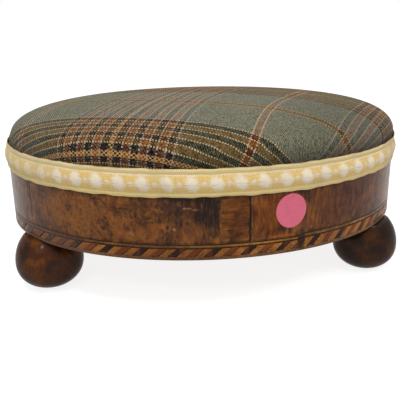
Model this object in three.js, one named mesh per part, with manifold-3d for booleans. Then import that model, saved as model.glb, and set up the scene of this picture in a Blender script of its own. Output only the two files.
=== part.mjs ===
// Oval upholstered footstool on four bun feet.
// Millimetres, +Z up, origin on the floor under the middle of the oval, +X along its length.

import * as THREE from 'three';
import { mergeVertices } from 'three/addons/utils/BufferGeometryUtils.js';
import Module from 'manifold-3d';

const wasm = await Module();
wasm.setup();

// Driving dimensions: the oval carcass
const friezeLength = 272;
const friezeWidth = 208;
const seatOfFeet = 36;
const boardThickness = 8;
const ringLayerHeight = 20;
const ringWall = 22;

// Driving dimensions: clearances
const glueLine = 0.3;
const layerGap = 0.3;
const bladeOverrun = 5;

// Driving dimensions: turned bun feet
const footRadius = 21.7;
const footMiddleHeight = 17.1;
const footBaseRadius = 8;
const footShoulderRadius = 15.6;
const footNeckRadius = 10.5;
const footNeckHeight = 0.5;
const footShoulderDrop = 1;
const footInset = 11;
const footTurnShare = 30.3 / 360;
const tenonRadius = 4.75;
const tenonChamfer = 0.8;
const tenonClearance = 0.25;
const tenonEndGap = 1;
const mortiseDepth = 14;

// Driving dimensions: veneer and inlay, from the bottom edge upwards
const skinThickness = 1.2;
const baseLineHeight = 2;
const ropeHeight = 5.7;
const ropePitch = 10.5;
const sawGap = 0.3;
const lowerLineHeight = 0.8;
const ochreLineHeight = 1.4;
const upperLineHeight = 0.6;
const veneerStopBelowTop = 7.5;

// Driving dimensions: upholstery
const webbingWidth = 50;
const webbingThickness = 1.2;
const longStripGap = 8;
const crossStripGap = 12;
const stripEndGap = 1.4;
const hessianThickness = 0.8;
const hessianBorder = 1.5;
const hessianFold = 2.7;
const waddingThickness = 4;
const coverThickness = 1;
const hemGap = 0.5;
const edgeSwell = 1.5;
const drawnIn = 1.3;
const crownRise = 26.6;

// Driving dimensions: gimp braid and paper sticker
const gimpBelowTop = 9.6;
const gimpHeight = 16.3;
const gimpThickness = 1;
const gimpCordProud = 0.45;
const gimpCordHeight = 2.4;
const stickerRadius = 9.5;
const stickerThickness = 0.2;
const stickerBelowBraid = 2.4;
const stickerGap = 0.1;
const stickerTurnShare = 287.4 / 360;

// Counts and shares chosen by hand
const turnSteps = 48;
const ringSegments = 6;
const crossStrips = 3;
const longStrips = 2;
const footFacets = 20;
const stickerColumns = 10;
const leafJointShares = [0.1389, 0.3194, 0.4583, 0.5917, 0.7494, 0.7686, 0.9583];
const crownShares = [0, 0.14, 0.3, 0.5, 0.74, 1];
const sideShares = [0, 0.25, 0.5, 0.75];
const gimpShares = [0, 0.3, 0.65, 1];
const lowerBallShares = [0.08, 0.3, 0.55, 0.8];
const upperBallShares = [0, 0.28, 0.55, 0.8, 1];
const shoulderShares = [0.5, 1];
const footUnderFullness = 2.2;
const footUpperFullness = 2;
const edgeSwellFullness = 0.8;
const crownSideFullness = 0.667;
const crownRiseFullness = 0.752;
const crownLeanShare = 0.138;

// Places worked out from the driving dimensions
const halfLength = friezeLength / 2;
const halfWidth = friezeWidth / 2;
const boardTop = seatOfFeet + boardThickness;
const frameTop = boardTop + 2 * ringLayerHeight;
const carcassOffset = -(skinThickness + glueLine);
const ringInside = carcassOffset - ringWall;
const ropeBottom = seatOfFeet + baseLineHeight;
const ropeTop = ropeBottom + ropeHeight;
const ochreBottom = ropeTop + lowerLineHeight;
const ochreTop = ochreBottom + ochreLineHeight;
const veneerBottom = ochreTop + upperLineHeight;
const veneerTop = frameTop - veneerStopBelowTop;
const hemBottom = veneerTop + hemGap;
const gimpBottom = frameTop - gimpBelowTop;
const gimpTop = gimpBottom + gimpHeight;
const hessianBottom = frameTop + 2 * webbingThickness + 2 * layerGap;
const stuffingBottom = hessianBottom + hessianThickness + layerGap;
const hemOffset = carcassOffset + glueLine + coverThickness;
const tenonLength = boardThickness + mortiseDepth - tenonEndGap;
const stickerMiddle = gimpBottom - stickerBelowBraid - stickerRadius;

// The oval: semi-axes grown by an offset, the same family of curves for every layer
function ovalPoint(turn, offset, z, size = 1) {
  const angle = turn * 2 * Math.PI;
  const x = (halfLength * size + offset) * Math.cos(angle);
  const y = (halfWidth * size + offset) * Math.sin(angle);
  return new THREE.Vector3(x, y, z);
}

// Share of a turn reached after a run along the face of the frieze
const runTable = [0];
const runTableSteps = 720;
for (let i = 0; i < runTableSteps; i += 1) {
  const here = ovalPoint(i / runTableSteps, 0, 0);
  const next = ovalPoint((i + 1) / runTableSteps, 0, 0);
  runTable.push(runTable[i] + here.distanceTo(next));
}
const perimeter = runTable[runTableSteps];

function turnAtRun(run) {
  const wanted = ((run % perimeter) + perimeter) % perimeter;
  const i = Math.min(runTable.findIndex((value) => value > wanted), runTableSteps) - 1;
  const part = (wanted - runTable[i]) / (runTable[i + 1] - runTable[i]);
  return (i + part) / runTableSteps;
}

function runAtTurn(turn) {
  const place = turn * runTableSteps;
  const i = Math.min(Math.floor(place), runTableSteps - 1);
  return runTable[i] + (place - i) * (runTable[i + 1] - runTable[i]);
}

// Makes a geometry from points and triangles
function geometryOf(points, triangles) {
  const geometry = new THREE.BufferGeometry();
  const flat = points.flatMap((point) => [point.x, point.y, point.z]);
  geometry.setAttribute('position', new THREE.Float32BufferAttribute(flat, 3));
  geometry.setIndex(triangles);
  return geometry;
}

// A skin wrapped round the oval. Each cell is a convex list of [run, z] corners, anticlockwise
// seen from outside. Cells that meet share their corners, and every free edge gets a wall.
function wrapped(cells, innerOffset, outerOffset) {
  const points = [];
  const triangles = [];
  const known = new Map();
  const corner = ([run, z]) => {
    const turn = turnAtRun(run);
    const key = `${Math.round(turn * 1e7) % 1e7}_${z}`;
    if (!known.has(key)) {
      known.set(key, points.length);
      points.push(ovalPoint(turn, outerOffset, z), ovalPoint(turn, innerOffset, z));
    }
    return known.get(key);
  };
  const loops = cells.map((cell) => cell.map(corner));
  const edges = new Set();
  for (const loop of loops) {
    loop.forEach((from, i) => edges.add(`${from}_${loop[(i + 1) % loop.length]}`));
  }
  for (const loop of loops) {
    for (let i = 1; i + 1 < loop.length; i += 1) {
      triangles.push(loop[0], loop[i], loop[i + 1]);
      triangles.push(loop[0] + 1, loop[i + 1] + 1, loop[i] + 1);
    }
    loop.forEach((from, i) => {
      const to = loop[(i + 1) % loop.length];
      if (!edges.has(`${to}_${from}`)) {
        triangles.push(from, from + 1, to + 1);
        triangles.push(from, to + 1, to);
      }
    });
  }
  return geometryOf(points, triangles);
}

// Square cells along a run of the skin, between two heights, split at the even steps of the turn
function bandCells(startRun, endRun, bottom, top) {
  const runs = [startRun];
  for (let i = 1; i < 2 * turnSteps; i += 1) {
    const run = runAtTurn((i % turnSteps) / turnSteps) + Math.floor(i / turnSteps) * perimeter;
    if (run > startRun + glueLine && run < endRun - glueLine) runs.push(run);
  }
  runs.push(endRun);
  return runs.slice(1).map((to, i) => [[runs[i], bottom], [to, bottom], [to, top], [runs[i], top]]);
}

// An oval lathe: rings of [size share, offset, z], closed on the axis or on themselves
function ovalLathe(profile, steps = turnSteps) {
  const points = [];
  const triangles = [];
  const closesOnItself = profile[0][0] > 0;
  const rings = profile.map(([size, offset, z]) => {
    const first = points.length;
    const count = size === 0 ? 1 : steps;
    for (let i = 0; i < count; i += 1) {
      points.push(size === 0 ? new THREE.Vector3(0, 0, z) : ovalPoint(i / steps, offset, z, size));
    }
    return { first, count };
  });
  const last = closesOnItself ? rings.length : rings.length - 1;
  for (let k = 0; k < last; k += 1) {
    const low = rings[k];
    const high = rings[(k + 1) % rings.length];
    for (let i = 0; i < steps; i += 1) {
      const j = (i + 1) % steps;
      const [a, b] = [low.first + (i % low.count), low.first + (j % low.count)];
      const [c, d] = [high.first + (i % high.count), high.first + (j % high.count)];
      if (low.count > 1) triangles.push(a, b, d);
      if (high.count > 1) triangles.push(a, d, c);
    }
  }
  return geometryOf(points, triangles);
}

// Part of the oval between two offsets, extruded from one height to another
function ovalBlock(fromTurn, toTurn, steps, outerOffset, innerOffset, bottom, top) {
  const outline = [];
  for (let i = 0; i <= steps; i += 1) {
    outline.push(ovalPoint(fromTurn + (toTurn - fromTurn) * (i / steps), outerOffset, 0));
  }
  for (let i = steps; i >= 0; i -= 1) {
    outline.push(ovalPoint(fromTurn + (toTurn - fromTurn) * (i / steps), innerOffset, 0));
  }
  const shape = new THREE.Shape(outline.map((point) => new THREE.Vector2(point.x, point.y)));
  const geometry = new THREE.ExtrudeGeometry(shape, { depth: top - bottom, bevelEnabled: false });
  return geometry.translate(0, 0, bottom);
}

// A whole oval plate, with round holes
function ovalPlate(offset, bottom, top, holes = []) {
  const outline = [];
  for (let i = 0; i < turnSteps; i += 1) {
    const point = ovalPoint(i / turnSteps, offset, 0);
    outline.push(new THREE.Vector2(point.x, point.y));
  }
  const shape = new THREE.Shape(outline);
  for (const { x, y, radius } of holes) {
    shape.holes.push(new THREE.Path().absarc(x, y, radius, 0, 2 * Math.PI, true));
  }
  const settings = { depth: top - bottom, bevelEnabled: false, curveSegments: footFacets / 2 };
  return new THREE.ExtrudeGeometry(shape, settings).translate(0, 0, bottom);
}

// Turns a shape drawn in X and height so that its height is along Z
const upright = new THREE.Matrix4().makeBasis(
  new THREE.Vector3(1, 0, 0),
  new THREE.Vector3(0, 0, 1),
  new THREE.Vector3(0, -1, 0),
);

function turned(profile, facets) {
  const points = profile.map(([radius, z]) => new THREE.Vector2(radius, z));
  return new THREE.LatheGeometry(points, facets).applyMatrix4(upright);
}

// Solids for joining and cutting
function solidOf(geometry) {
  const bare = geometry.clone();
  bare.deleteAttribute('normal');
  bare.deleteAttribute('uv');
  const merged = mergeVertices(bare);
  return new wasm.Manifold(new wasm.Mesh({
    numProp: 3,
    vertProperties: new Float32Array(merged.attributes.position.array),
    triVerts: new Uint32Array(merged.index.array),
  }));
}

function geometryFrom(solid) {
  const mesh = solid.getMesh();
  const geometry = new THREE.BufferGeometry();
  geometry.setAttribute('position', new THREE.Float32BufferAttribute(mesh.vertProperties, 3));
  geometry.setIndex(Array.from(mesh.triVerts));
  return geometry;
}

// Materials
const finish = (color, roughness) => new THREE.MeshStandardMaterial({ color, roughness, metalness: 0 });
const turnedWood = finish(0x4a2c1a, 0.3);
const pine = finish(0xb08d5a, 0.75);
const burrVeneer = finish(0x6e4425, 0.38);
const darkInlay = finish(0x2c1c14, 0.4);
const ochreInlay = finish(0xb98545, 0.4);
const jute = finish(0x9c8254, 0.9);
const sackcloth = finish(0xa58c60, 0.95);
const horsehair = finish(0x3a2f26, 0.95);
const cottonWadding = finish(0xe6e0d2, 0.95);
const plaidWool = finish(0x5c5a48, 0.95);
const braid = finish(0xdccb98, 0.9);
const pinkPaper = finish(0xdc6487, 0.6);

const footstool = new THREE.Group();

function add(name, geometry, material) {
  const mesh = new THREE.Mesh(geometry, material);
  mesh.name = name;
  footstool.add(mesh);
  return mesh;
}

// Feet: a flattened ball, a short neck, and a tenon that passes through the board into the ring
const footPlaces = [
  { name: 'foot_back_right', turn: footTurnShare },
  { name: 'foot_back_left', turn: 1 / 2 - footTurnShare },
  { name: 'foot_front_left', turn: 1 / 2 + footTurnShare },
  { name: 'foot_front_right', turn: 1 - footTurnShare },
].map((place) => ({ ...place, spot: ovalPoint(place.turn, -footInset, 0) }));

function footProfile() {
  const neckBottom = seatOfFeet - footNeckHeight;
  const shoulder = neckBottom - footShoulderDrop;
  const ballRadius = (share, endRadius, fullness) => {
    const taper = 1 - (endRadius / footRadius) ** fullness;
    return footRadius * (1 - taper * share ** fullness) ** (1 / fullness);
  };
  const under = (z) => ballRadius(1 - z / footMiddleHeight, footBaseRadius, footUnderFullness);
  const above = (z) => {
    const share = (z - footMiddleHeight) / (shoulder - footMiddleHeight);
    return ballRadius(share, footShoulderRadius, footUpperFullness);
  };
  const lower = lowerBallShares.map((share) => share * footMiddleHeight);
  const upper = upperBallShares.map((share) => footMiddleHeight + share * (shoulder - footMiddleHeight));
  const profile = [[0, 0], [under(0), 0]];
  for (const z of lower) profile.push([under(z), z]);
  for (const z of upper) profile.push([above(z), z]);
  for (const share of shoulderShares) {
    const radius = footShoulderRadius + (footNeckRadius - footShoulderRadius) * share;
    profile.push([radius, shoulder + footShoulderDrop * Math.sin(share * Math.PI / 2)]);
  }
  profile.push([footNeckRadius, seatOfFeet], [tenonRadius, seatOfFeet]);
  profile.push([tenonRadius, seatOfFeet + tenonLength - tenonChamfer]);
  profile.push([tenonRadius - tenonChamfer, seatOfFeet + tenonLength], [0, seatOfFeet + tenonLength]);
  return profile;
}

for (const { name, spot } of footPlaces) {
  add(name, turned(footProfile(), footFacets), turnedWood).position.copy(spot);
}

// Base board: an oval of pine with a hole for each tenon
const tenonHoleRadius = tenonRadius + tenonClearance;
const tenonHoles = footPlaces.map(({ spot }) => ({ x: spot.x, y: spot.y, radius: tenonHoleRadius }));
add('base_board', ovalPlate(carcassOffset, seatOfFeet, boardTop, tenonHoles), pine);

// Carcass ring: two courses of curved pine bricks, their joints staggered,
// the lower course with a blind mortise over each foot
function ringBrick(course, index) {
  const stagger = course === 0 ? 0 : 1 / 2;
  const bottom = boardTop + course * ringLayerHeight;
  const middleRadius = (halfLength + halfWidth) / 2 + ringInside + ringWall / 2;
  const halfGap = glueLine / 2 / (2 * Math.PI * middleRadius);
  const from = (index + stagger) / ringSegments + halfGap;
  const to = (index + 1 + stagger) / ringSegments - halfGap;
  const steps = turnSteps / ringSegments;
  return ovalBlock(from, to, steps, carcassOffset, ringInside, bottom, bottom + ringLayerHeight);
}

function mortise(spot) {
  const depth = mortiseDepth + bladeOverrun;
  const bit = new THREE.CylinderGeometry(tenonHoleRadius, tenonHoleRadius, depth, footFacets);
  const middle = boardTop + mortiseDepth - depth / 2;
  return bit.applyMatrix4(upright).translate(spot.x, spot.y, middle);
}

const courseNames = ['ring_lower', 'ring_upper'];
courseNames.forEach((courseName, course) => {
  for (let index = 0; index < ringSegments; index += 1) {
    let brick = ringBrick(course, index);
    const over = footPlaces.filter(({ turn }) => Math.floor(turn * ringSegments) === index);
    if (course === 0 && over.length > 0) {
      let solid = solidOf(brick);
      for (const { spot } of over) solid = solid.subtract(solidOf(mortise(spot)));
      brick = geometryFrom(solid);
    }
    add(`${courseName}_${index + 1}`, brick, pine);
  }
});

// Rope banding: slanted dark pieces hang from the lower dark line, slanted light pieces
// stand on the light base line, and the two combs interlock all the way round
const ropeCount = Math.round(perimeter / ropePitch);
const ropeStep = perimeter / ropeCount;
const pieceWidth = ropeStep / 2;
const ropeStart = pieceWidth;
const slantRun = ropeHeight;

function combCells(start, lineBottom, lineTop, toothHeight) {
  const cells = [];
  const hangs = toothHeight < 0;
  const root = hangs ? lineBottom : lineTop;
  const lean = slantRun * (toothHeight / ropeHeight);
  for (let i = 0; i < ropeCount; i += 1) {
    const run = start + i * ropeStep;
    const next = run + ropeStep;
    const left = run + sawGap / 2;
    const right = run + pieceWidth - sawGap / 2;
    const tip = root + toothHeight;
    if (hangs) {
      const highEdge = [[next, lineTop], [run, lineTop]];
      cells.push([[run, root], [left, root], [right, root], [next, root], ...highEdge]);
      cells.push([[left + lean, tip], [right + lean, tip], [right, root], [left, root]]);
    } else {
      const lowEdge = [[run, lineBottom], [next, lineBottom]];
      cells.push([...lowEdge, [next, root], [right, root], [left, root], [run, root]]);
      cells.push([[left, root], [right, root], [right + lean, tip], [left + lean, tip]]);
    }
  }
  return cells;
}

const toothHeight = ropeHeight - sawGap;
const darkComb = combCells(ropeStart, ropeTop, ochreBottom, -toothHeight);
const lightStart = ropeStart + pieceWidth - slantRun;
const lightComb = combCells(lightStart, seatOfFeet, ropeBottom, toothHeight);
add('rope_band_dark', wrapped(darkComb, -skinThickness, 0), darkInlay);
add('rope_band_light', wrapped(lightComb, -skinThickness, 0), ochreInlay);

// Stringing lines and the veneer leaves above them
const ochreCells = bandCells(0, perimeter, ochreBottom, ochreTop);
const upperCells = bandCells(0, perimeter, ochreTop, veneerBottom);
add('stringing_ochre', wrapped(ochreCells, -skinThickness, 0), ochreInlay);
add('stringing_dark', wrapped(upperCells, -skinThickness, 0), darkInlay);

leafJointShares.forEach((share, index) => {
  const turnsRound = index + 1 === leafJointShares.length ? 1 : 0;
  const endShare = leafJointShares[(index + 1) % leafJointShares.length];
  const from = runAtTurn(share) + glueLine / 2;
  const to = runAtTurn(endShare) + turnsRound * perimeter - glueLine / 2;
  const cells = bandCells(from, to, veneerBottom, veneerTop);
  add(`veneer_leaf_${index + 1}`, wrapped(cells, -skinThickness, 0), burrVeneer);
});

// How far the cover's side stands out: it swells over the frame's edge and is drawn in at the braid
function sideOffset(z) {
  const place = (z - hemBottom) / (gimpTop - hemBottom);
  const swell = edgeSwell * Math.sin(place ** edgeSwellFullness * Math.PI);
  return hemOffset + (-drawnIn - hemOffset) * place + swell;
}

// The seat's outer surface, from a height on its side up to the middle of the crown
function seatProfile(fromHeight) {
  const profile = sideShares.map((share) => {
    const z = fromHeight + (gimpTop - fromHeight) * share;
    return [1, sideOffset(z), z];
  });
  for (const share of crownShares) {
    const angle = share * Math.PI / 2;
    const size = share === 1 ? 0 : Math.cos(angle) ** crownSideFullness;
    const rise = crownRise * Math.sin(angle) ** crownRiseFullness;
    profile.push([size, -drawnIn * size, gimpTop + rise]);
  }
  return profile;
}

// The stuffing has settled: the crown stands higher towards the front than towards the back
function settled(geometry) {
  const place = geometry.attributes.position;
  for (let i = 0; i < place.count; i += 1) {
    const rise = Math.max(place.getZ(i) - gimpTop, 0);
    const share = crownLeanShare * (place.getY(i) / halfWidth);
    place.setZ(i, place.getZ(i) - rise * share);
  }
  return geometry;
}

// Depths of the seat's layers, and the border of the hessian inside them
const waddingTop = coverThickness + layerGap;
const stuffingTop = waddingTop + waddingThickness + layerGap;
const frameSeat = seatProfile(frameTop);
const hessianEdge = frameSeat[0][1] - stuffingTop;
const hessianTurn = hessianEdge - hessianBorder;
const hessianFlat = hessianTurn - hessianFold;

// Webbing: two long strips woven over and under three cross strips, ends trimmed to the oval
function stripRibbon(crossings, firstOver) {
  const half = webbingWidth / 2 + layerGap;
  const ramp = webbingWidth / 4;
  const lift = webbingThickness + layerGap;
  const heights = [[-halfLength, 0], [crossings[0] - half - ramp, 0]];
  crossings.forEach((place, i) => {
    const rise = (i % 2 === 0) === firstOver ? lift : 0;
    heights.push([place - half, rise], [place + half, rise]);
  });
  heights.push([crossings.at(-1) + half + ramp, 0], [halfLength, 0]);
  const below = heights.map(([run, rise]) => new THREE.Vector2(run, frameTop + rise));
  const above = heights.map(([run, rise]) => new THREE.Vector2(run, frameTop + rise + webbingThickness));
  const shape = new THREE.Shape([...below, ...above.reverse()]);
  const ribbon = new THREE.ExtrudeGeometry(shape, { depth: webbingWidth, bevelEnabled: false });
  return ribbon.applyMatrix4(upright).translate(0, webbingWidth / 2, 0);
}

const spread = (count, spacing) => (
  Array.from({ length: count }, (value, i) => (i - (count - 1) / 2) * spacing)
);
const longPlaces = spread(longStrips, webbingWidth + longStripGap);
const crossPlaces = spread(crossStrips, webbingWidth + crossStripGap);
const trimTop = hessianBottom + bladeOverrun;
const trimPlate = solidOf(ovalPlate(hessianFlat - stripEndGap, frameTop - bladeOverrun, trimTop));
const quarterTurn = new THREE.Matrix4().makeBasis(
  new THREE.Vector3(0, 1, 0),
  new THREE.Vector3(-1, 0, 0),
  new THREE.Vector3(0, 0, 1),
);

longPlaces.forEach((place, index) => {
  const ribbon = stripRibbon(crossPlaces, index % 2 === 0).translate(0, place, 0);
  const strip = solidOf(ribbon).intersect(trimPlate);
  add(`webbing_long_${index + 1}`, geometryFrom(strip), jute);
});
crossPlaces.forEach((place, index) => {
  const ribbon = stripRibbon(longPlaces, index % 2 === 1).applyMatrix4(quarterTurn).translate(place, 0, 0);
  const strip = solidOf(ribbon).intersect(trimPlate);
  add(`webbing_cross_${index + 1}`, geometryFrom(strip), jute);
});

// The same surface moved inwards by a depth: level on the side, square to itself on the crown
function layerBelow(profile, depth) {
  return profile.map(([size, offset, z], i) => {
    if (size === 0) return [0, 0, z - depth];
    if (z <= gimpTop) return [size, offset - depth, z];
    const before = profile[Math.max(i - 1, 0)];
    const after = profile[Math.min(i + 1, profile.length - 1)];
    const out = (after[0] - before[0]) * halfLength + after[1] - before[1];
    const up = after[2] - before[2];
    const length = Math.hypot(out, up);
    return [size, offset - depth * (up / length), z + depth * (out / length)];
  });
}

const reversed = (profile) => [...profile].reverse();

// Hessian: flat over the webbing, folded down to the top of the ring at its border
add('hessian', ovalLathe([
  [0, 0, hessianBottom],
  [1, hessianFlat, hessianBottom],
  [1, hessianTurn, frameTop],
  [1, hessianEdge, frameTop],
  [1, hessianEdge, frameTop + hessianThickness],
  [1, hessianTurn, frameTop + hessianThickness],
  [1, hessianFlat, hessianBottom + hessianThickness],
  [0, 0, hessianBottom + hessianThickness],
]), sackcloth);

// Horsehair stuffing, cotton wadding over it, and the plaid cover drawn over both
const stuffing = [[0, 0, stuffingBottom], ...layerBelow(seatProfile(stuffingBottom), stuffingTop)];
add('horsehair_stuffing', settled(ovalLathe(stuffing)), horsehair);

const waddingOuter = layerBelow(frameSeat, waddingTop);
const waddingInner = layerBelow(frameSeat, waddingTop + waddingThickness);
const wadding = ovalLathe([...reversed(waddingInner), ...waddingOuter]);
add('cotton_wadding', settled(wadding), cottonWadding);

const coverOuter = seatProfile(hemBottom);
const coverInner = layerBelow(coverOuter, coverThickness);
const cover = ovalLathe([...reversed(coverInner), ...coverOuter]);
add('plaid_cover', settled(cover), plaidWool);

// Gimp braid: a flat band with a fat cord along each edge, lying on the veneer and the cover
function gimpProfile() {
  const lieOf = (z) => (z > hemBottom + layerGap ? Math.max(sideOffset(z), hemOffset) : 0) + layerGap;
  const face = gimpThickness;
  const cord = gimpThickness + gimpCordProud;
  const heights = gimpShares.map((share) => gimpBottom + share * gimpHeight);
  const inner = heights.map((z) => [1, lieOf(z), z]);
  const lowCord = gimpBottom + gimpCordHeight;
  const highCord = gimpTop - gimpCordHeight;
  const flat = heights.filter((z) => z > lowCord && z < highCord);
  const outer = [
    [1, lieOf(gimpBottom) + cord, gimpBottom],
    [1, lieOf(lowCord) + cord, lowCord - gimpCordHeight / 4],
    [1, lieOf(lowCord) + face, lowCord],
    ...flat.map((z) => [1, lieOf(z) + face, z]),
    [1, lieOf(highCord) + face, highCord],
    [1, lieOf(highCord) + cord, highCord + gimpCordHeight / 4],
    [1, lieOf(gimpTop) + cord, gimpTop],
  ];
  return [...reversed(inner), ...outer];
}

add('gimp_braid', ovalLathe(gimpProfile()), braid);

// Blank round sticker, bent to the frieze
function stickerCells() {
  const middle = runAtTurn(stickerTurnShare);
  const edgeAt = (i) => {
    const angle = Math.PI * (i / stickerColumns);
    return { run: middle - stickerRadius * Math.cos(angle), half: stickerRadius * Math.sin(angle) };
  };
  const cells = [];
  for (let i = 0; i < stickerColumns; i += 1) {
    const left = edgeAt(i);
    const right = edgeAt(i + 1);
    const cell = [];
    if (i > 0) cell.push([left.run, stickerMiddle - left.half]);
    if (i + 1 < stickerColumns) cell.push([right.run, stickerMiddle - right.half]);
    if (i + 1 < stickerColumns) cell.push([right.run, stickerMiddle + right.half]);
    if (i > 0) cell.push([left.run, stickerMiddle + left.half]);
    if (i === 0) cell.push([left.run, stickerMiddle]);
    if (i + 1 === stickerColumns) cell.splice(1, 0, [right.run, stickerMiddle]);
    cells.push(cell);
  }
  return cells;
}

add('sticker_blank', wrapped(stickerCells(), stickerGap, stickerGap + stickerThickness), pinkPaper);

export default footstool;
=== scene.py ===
import math

import bpy
import numpy as np
from mathutils import Matrix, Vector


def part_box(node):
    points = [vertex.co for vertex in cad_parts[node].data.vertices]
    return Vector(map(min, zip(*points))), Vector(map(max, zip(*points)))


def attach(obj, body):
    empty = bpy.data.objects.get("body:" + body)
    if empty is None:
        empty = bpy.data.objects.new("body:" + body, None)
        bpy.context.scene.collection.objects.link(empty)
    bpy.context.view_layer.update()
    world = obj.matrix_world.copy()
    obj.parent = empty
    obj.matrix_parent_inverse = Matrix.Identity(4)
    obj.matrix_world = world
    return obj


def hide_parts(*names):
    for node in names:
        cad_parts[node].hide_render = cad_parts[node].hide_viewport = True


# An oval footstool: plaid cushion, gimp braid, burr veneer over inlaid lines, four bun feet.
# Shapes are worked out in millimetres in the frame's axes and put into the meshes in metres.

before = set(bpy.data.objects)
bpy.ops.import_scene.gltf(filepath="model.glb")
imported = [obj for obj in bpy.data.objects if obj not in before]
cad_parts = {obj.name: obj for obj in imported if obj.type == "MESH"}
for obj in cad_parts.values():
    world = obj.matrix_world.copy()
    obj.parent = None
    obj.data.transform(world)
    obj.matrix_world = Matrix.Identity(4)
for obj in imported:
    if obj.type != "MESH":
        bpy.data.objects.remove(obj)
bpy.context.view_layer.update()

MM = 0.001
TURN = 2 * math.pi


def box_mm(node):
    """Lowest and highest corner of a CAD node, in millimetres."""
    low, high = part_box(node)
    return np.array(low) / MM, np.array(high) / MM


def middle_mm(node):
    """Middle of a CAD node's box, in millimetres."""
    low, high = box_mm(node)
    return (low + high) / 2


def size_mm(node):
    """Size of a CAD node's box along the three axes, in millimetres."""
    low, high = box_mm(node)
    return high - low


def side_by_side(*parts):
    """Arrays brought to one shape and put side by side along a new last axis."""
    return np.stack(np.broadcast_arrays(*parts), axis=-1)


# Sizes taken from the frame
half_length, half_width, ochre_top = box_mm("stringing_ochre")[1]
ochre_bottom = box_mm("stringing_ochre")[0][2]
frieze_bottom = box_mm("rope_band_light")[0][2]
leaf_bottom = box_mm("veneer_leaf_1")[0][2]
leaf_top = box_mm("veneer_leaf_1")[1][2]
frame_top = box_mm("ring_upper_1")[1][2]
hem_bottom = box_mm("plaid_cover")[0][2]
gimp_bottom = box_mm("gimp_braid")[0][2]
gimp_top = box_mm("gimp_braid")[1][2]
foot_radius = size_mm("foot_front_left")[0] / 2
tenon_top = box_mm("foot_front_left")[1][2]
webbing_width = size_mm("webbing_cross_1")[0]
hessian_bottom = box_mm("webbing_long_1")[1][2]

# Sizes that the pieces share, in millimetres
skin = 1.2
glue_line = 0.3
layer_gap = 0.3
base_line = 2.0

# The oval


def oval(turn, offset, size=1.0):
    """Points of the oval: each semi-axis times size plus offset, at shares of a turn."""
    angle = np.asarray(turn) * TURN
    x = (half_length * size + offset) * np.cos(angle)
    y = (half_width * size + offset) * np.sin(angle)
    return x, y


def oval_rings(turn, size, offset, height):
    """Rings of the oval, one for each row, with its size share, offset and height."""
    x, y = oval(turn[None, :], offset[:, None], size[:, None])
    return side_by_side(x, y, height[:, None])


# The run along the frieze, tabulated against the turn
run_steps = 7200
run_turns = np.arange(run_steps + 1) / run_steps
run_x, run_y = oval(run_turns, 0.0)
run_table = np.concatenate([[0.0], np.cumsum(np.hypot(np.diff(run_x), np.diff(run_y)))])
perimeter = run_table[-1]


def turn_at(run):
    """Share of a turn that is reached after a run along the frieze."""
    run = np.asarray(run, float)
    rounds = np.floor(run / perimeter)
    return np.interp(run - rounds * perimeter, run_table, run_turns) + rounds


def run_at(turn):
    """Run along the frieze up to a share of a turn."""
    turn = np.asarray(turn, float)
    rounds = np.floor(turn)
    return np.interp(turn - rounds, run_turns, run_table) + rounds * perimeter


# The inlay was laid in two lengths that meet at a mend on the front, one a little higher
inlay_low = frieze_bottom + base_line
inlay_fade = 12.0
inlay_drop, inlay_rise = -0.9, 0.35
mend_turn = 0.8072
mend_step = 0.002
high_until = 0.93


def inlay_drift(turn):
    """How far the inlaid lines lie from their drawn height: low up to the mend, high after it, then
    slowly back at the right end."""
    high = smooth_step(turn, mend_turn - mend_step, mend_turn + mend_step)
    high = high * (1 - smooth_step(turn, high_until, 1.0))
    return inlay_drop + (inlay_rise - inlay_drop) * high


def on_oval(run, offset, height):
    """Points at a run along the frieze, an offset outwards and a height, as an array. The inlaid
    lines drift up or down with the old handwork, and take the pieces beside them along."""
    run, offset, height = np.broadcast_arrays(run, offset, height)
    turn = turn_at(run)
    x, y = oval(turn, offset)
    share = np.clip((height - inlay_low) / (leaf_bottom - inlay_low), 0, 1)
    share = share * (1 - np.clip((height - leaf_bottom) / inlay_fade, 0, 1))
    return np.stack([x, y, height + share * inlay_drift(turn % 1.0)], axis=-1)


def smooth_step(value, low, high):
    """0 below low, 1 above high, and 3t^2 - 2t^3 between them."""
    t = np.clip((value - low) / (high - low), 0, 1)
    return t * t * (3 - 2 * t)


def ripple(run, waves, seed):
    """Slow uneven waves round the oval: a sum of sines with whole numbers of waves, about 1 high."""
    draw = np.random.default_rng(seed)
    total = 0
    for wave in waves:
        total = total + np.sin(TURN * (wave * run / perimeter + draw.random()))
    return total / math.sqrt(len(waves))


# Materials


def rgb(red, green, blue):
    """A colour of the screen, 0 to 255, as Blender's linear colour."""
    def linear(level):
        share = level / 255
        return share / 12.92 if share <= 0.04045 else ((share + 0.055) / 1.055) ** 2.4
    return (linear(red), linear(green), linear(blue), 1.0)


class Wire:
    """One output in a material's nodes. Arithmetic on it adds Math nodes."""

    def __init__(self, finish, socket):
        self.finish = finish
        self.socket = socket

    def __add__(self, other):
        return self.finish.math("ADD", self, other)

    def __sub__(self, other):
        return self.finish.math("SUBTRACT", self, other)

    def __rsub__(self, other):
        return self.finish.math("SUBTRACT", other, self)

    def __mul__(self, other):
        return self.finish.math("MULTIPLY", self, other)

    def __truediv__(self, other):
        return self.finish.math("DIVIDE", self, other)

    def __mod__(self, other):
        return self.finish.math("FLOORED_MODULO", self, other)

    def __lt__(self, other):
        return self.finish.math("LESS_THAN", self, other)

    def __gt__(self, other):
        return self.finish.math("GREATER_THAN", self, other)

    def __abs__(self):
        return self.finish.math("ABSOLUTE", self)


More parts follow.
